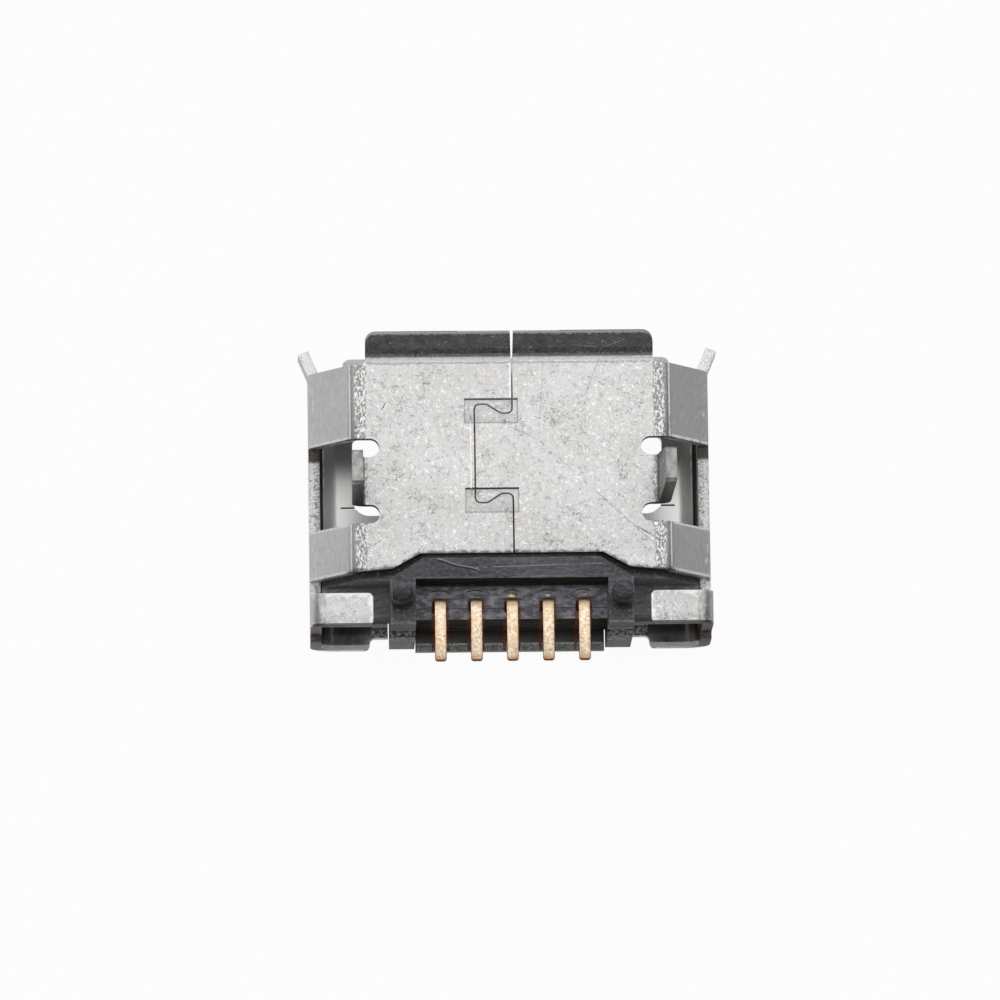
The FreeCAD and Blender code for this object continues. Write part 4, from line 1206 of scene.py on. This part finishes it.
# %% Housing finishes
def moulded_black():
    """All marks of the moulding in their order."""
    f = Finish("moulded_black")
    f.top = f.step(f.z, BOARD_PLANE, -0.06, -0.03)
    f.middle = f.step(f.across, RECESS_HALF, 0.0, -0.06)
    cloud = f.grain(0.22, 4.0, (2.2, 1.0, 1.0))
    f.fibre = f.grain(0.024, 4.0, (2.6, 1.0, 1.0), harsh=0.75)
    f.colour = f.ramp(cloud, [(0.34, (0.135, 0.137, 0.152)), (0.64, (0.255, 0.257, 0.28))])
    frost_recess(f)
    arc_contacts(f)
    shade_hollows(f)
    highlight_edges(f)
    scratch_housing(f)
    # Painted shade of the slot gaps beside the contacts, red-brown, on the moulding.
    gap_shade = f.all_of(beside_contacts(f), f.step(f.depth, GAP_SHADE_FROM, -0.04, -0.01))
    f.touch(0.9, (0.26, 0.065, 0.02), gap_shade)
    roughness = f.ramp(f.fibre, [(0.3, 0.55), (0.7, 0.42)])
    height = f.less(f.fibre, f.times(f.dark_side, 0.8))
    height = f.plus(height, f.times(f.all_of(f.frost, f.rough_floor), 0.5))
    return f.surface(roughness, height, 0.012, Specular_IOR_Level=0.35)


def deep_black():
    """The upright faces in the recess, which no lamp reaches: matt and brownish."""
    f = Finish("deep_black")
    streak = f.grain(0.05, 3.0, (6.0, 1.0, 1.0))
    f.colour = f.ramp(streak, [(0.34, (0.03, 0.027, 0.024)), (0.64, (0.075, 0.068, 0.06))])
    # Painted shade of the slot gaps beside the contacts, red-brown, on the upright faces.
    gap_shade = f.all_of(beside_contacts(f), f.step(f.depth, GAP_SHADE_FROM, 0.0, 0.1))
    f.touch(0.9, (0.24, 0.055, 0.018), gap_shade)
    return f.surface(0.7, streak, 0.008, Specular_IOR_Level=0.0)


for finish in (moulded_black(), deep_black()):
    housing.data.materials.append(finish)
deep_faces = 0
for face in housing.data.polygons:
    turned_back = face.normal.y < -0.9 and abs(face.center.x) < RECESS_HALF * MM
    if turned_back and BAR_BACK - 0.05 < lip_root_y - face.center.y / MM < POST_BACK - 0.05:
        face.material_index = 1
        deep_faces += 1
print(f"housing finished, {deep_faces} deep faces")

# %% [markdown]
# ## Contacts
#
# The contacts are copper strip with a thin pale gold flash. Their rolled faces are gold with painted
# glints, their sheared sides are red-brown copper painted dark as shade, and the cut tip of each tail
# is bare orange copper.

# %% Gilt contacts
TAIL_BEND = 4.58


def gilt_strip():
    """Pale gold flash, speckled and with painted glints, greener round the bend and bare orange at
    the cut tip.
    """
    f = Finish("gilt_strip")
    tail_tip = lip_root_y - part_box("contact_1")[0].y / MM
    speckle = f.grain(0.024, 4.0, harsh=0.75)
    patch = f.grain(0.16, 2.0)
    f.colour = f.ramp(speckle, [(0.32, (0.63, 0.44, 0.26)), (0.6, (0.98, 0.85, 0.66))])
    f.touch(0.45, (0.86, 0.59, 0.34), f.fade(patch, 0.46, 0.6))
    # Pale strokes are painted glints.
    f.touch(0.8, (1.0, 0.96, 0.86), f.strokes(0.07, 0.01, 0.55))
    f.touch(0.6, (0.42, 0.25, 0.12), f.strokes(0.08, 0.012, 0.56))
    f.touch(0.35, (0.42, 0.32, 0.16), f.step(f.depth, TAIL_BEND, 0.05, -0.1))
    f.touch(0.7, (0.66, 0.37, 0.2), f.fade(f.depth, tail_tip - 0.12, tail_tip - 0.03))
    f.touch(0.8, (0.62, 0.25, 0.09), f.fade(f.depth, tail_tip - 0.03, tail_tip - 0.02))
    roughness = f.ramp(speckle, [(0.3, 0.42), (0.7, 0.28)])
    return f.surface(roughness, speckle, 0.006, Metallic=1.0)


def bare_copper():
    """The sheared sides, red copper where the flash didn't take, painted dark as shade."""
    f = Finish("bare_copper")
    tear = f.grain(0.04, 3.0, harsh=0.6)
    f.colour = f.ramp(tear, [(0.3, (0.1, 0.012, 0.004)), (0.7, (0.25, 0.06, 0.02))])
    return f.surface(0.5, tear, 0.006, Metallic=1.0)


for finish in (gilt_strip(), bare_copper()):
    for contact in contacts:
        contact.data.materials.append(finish)
for contact in contacts:
    mark_sheared(contact, CONTACT_SHEET * MM)

# %% [markdown]
# Three crumbs of the gold flash have come off the strips. They lie in the recess, in front of the
# contacts that they came from, so they are small pieces of their own.

# %% Gold flakes
FLAKES = ((0.006, 4.246, 0.076), (0.66, 4.246, 0.052), (1.34, 4.232, 0.04))
FLAKE_TURN = math.radians(17.0)
FLAKE_SHAPE = (0.9, 0.42, 0.08)
FLAKE_LIFT = 0.06
FLAKE_ROUGHNESS = 0.2

for number, (x, depth, half) in enumerate(FLAKES, 1):
    bpy.ops.object.select_all(action="DESELECT")
    rest = place(x, depth, RECESS_FLOOR + half * FLAKE_LIFT)
    bpy.ops.mesh.primitive_ico_sphere_add(subdivisions=2, radius=half * MM, location=rest)
    flake = bpy.context.object
    flake.name = f"gold_flake_{number}"
    for vertex in flake.data.vertices:
        vertex.co *= 1.0 + FLAKE_ROUGHNESS * math.sin(number + 9.0 * vertex.index)
    flake.scale = FLAKE_SHAPE
    flake.rotation_euler.z = FLAKE_TURN * (number - 2)
    bpy.ops.object.transform_apply(location=True, rotation=True, scale=True)
    flake.data.materials.append(contacts[0].data.materials[0])
    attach(flake, "root")
    print(f"{flake.name}: {len(flake.data.polygons)} faces")
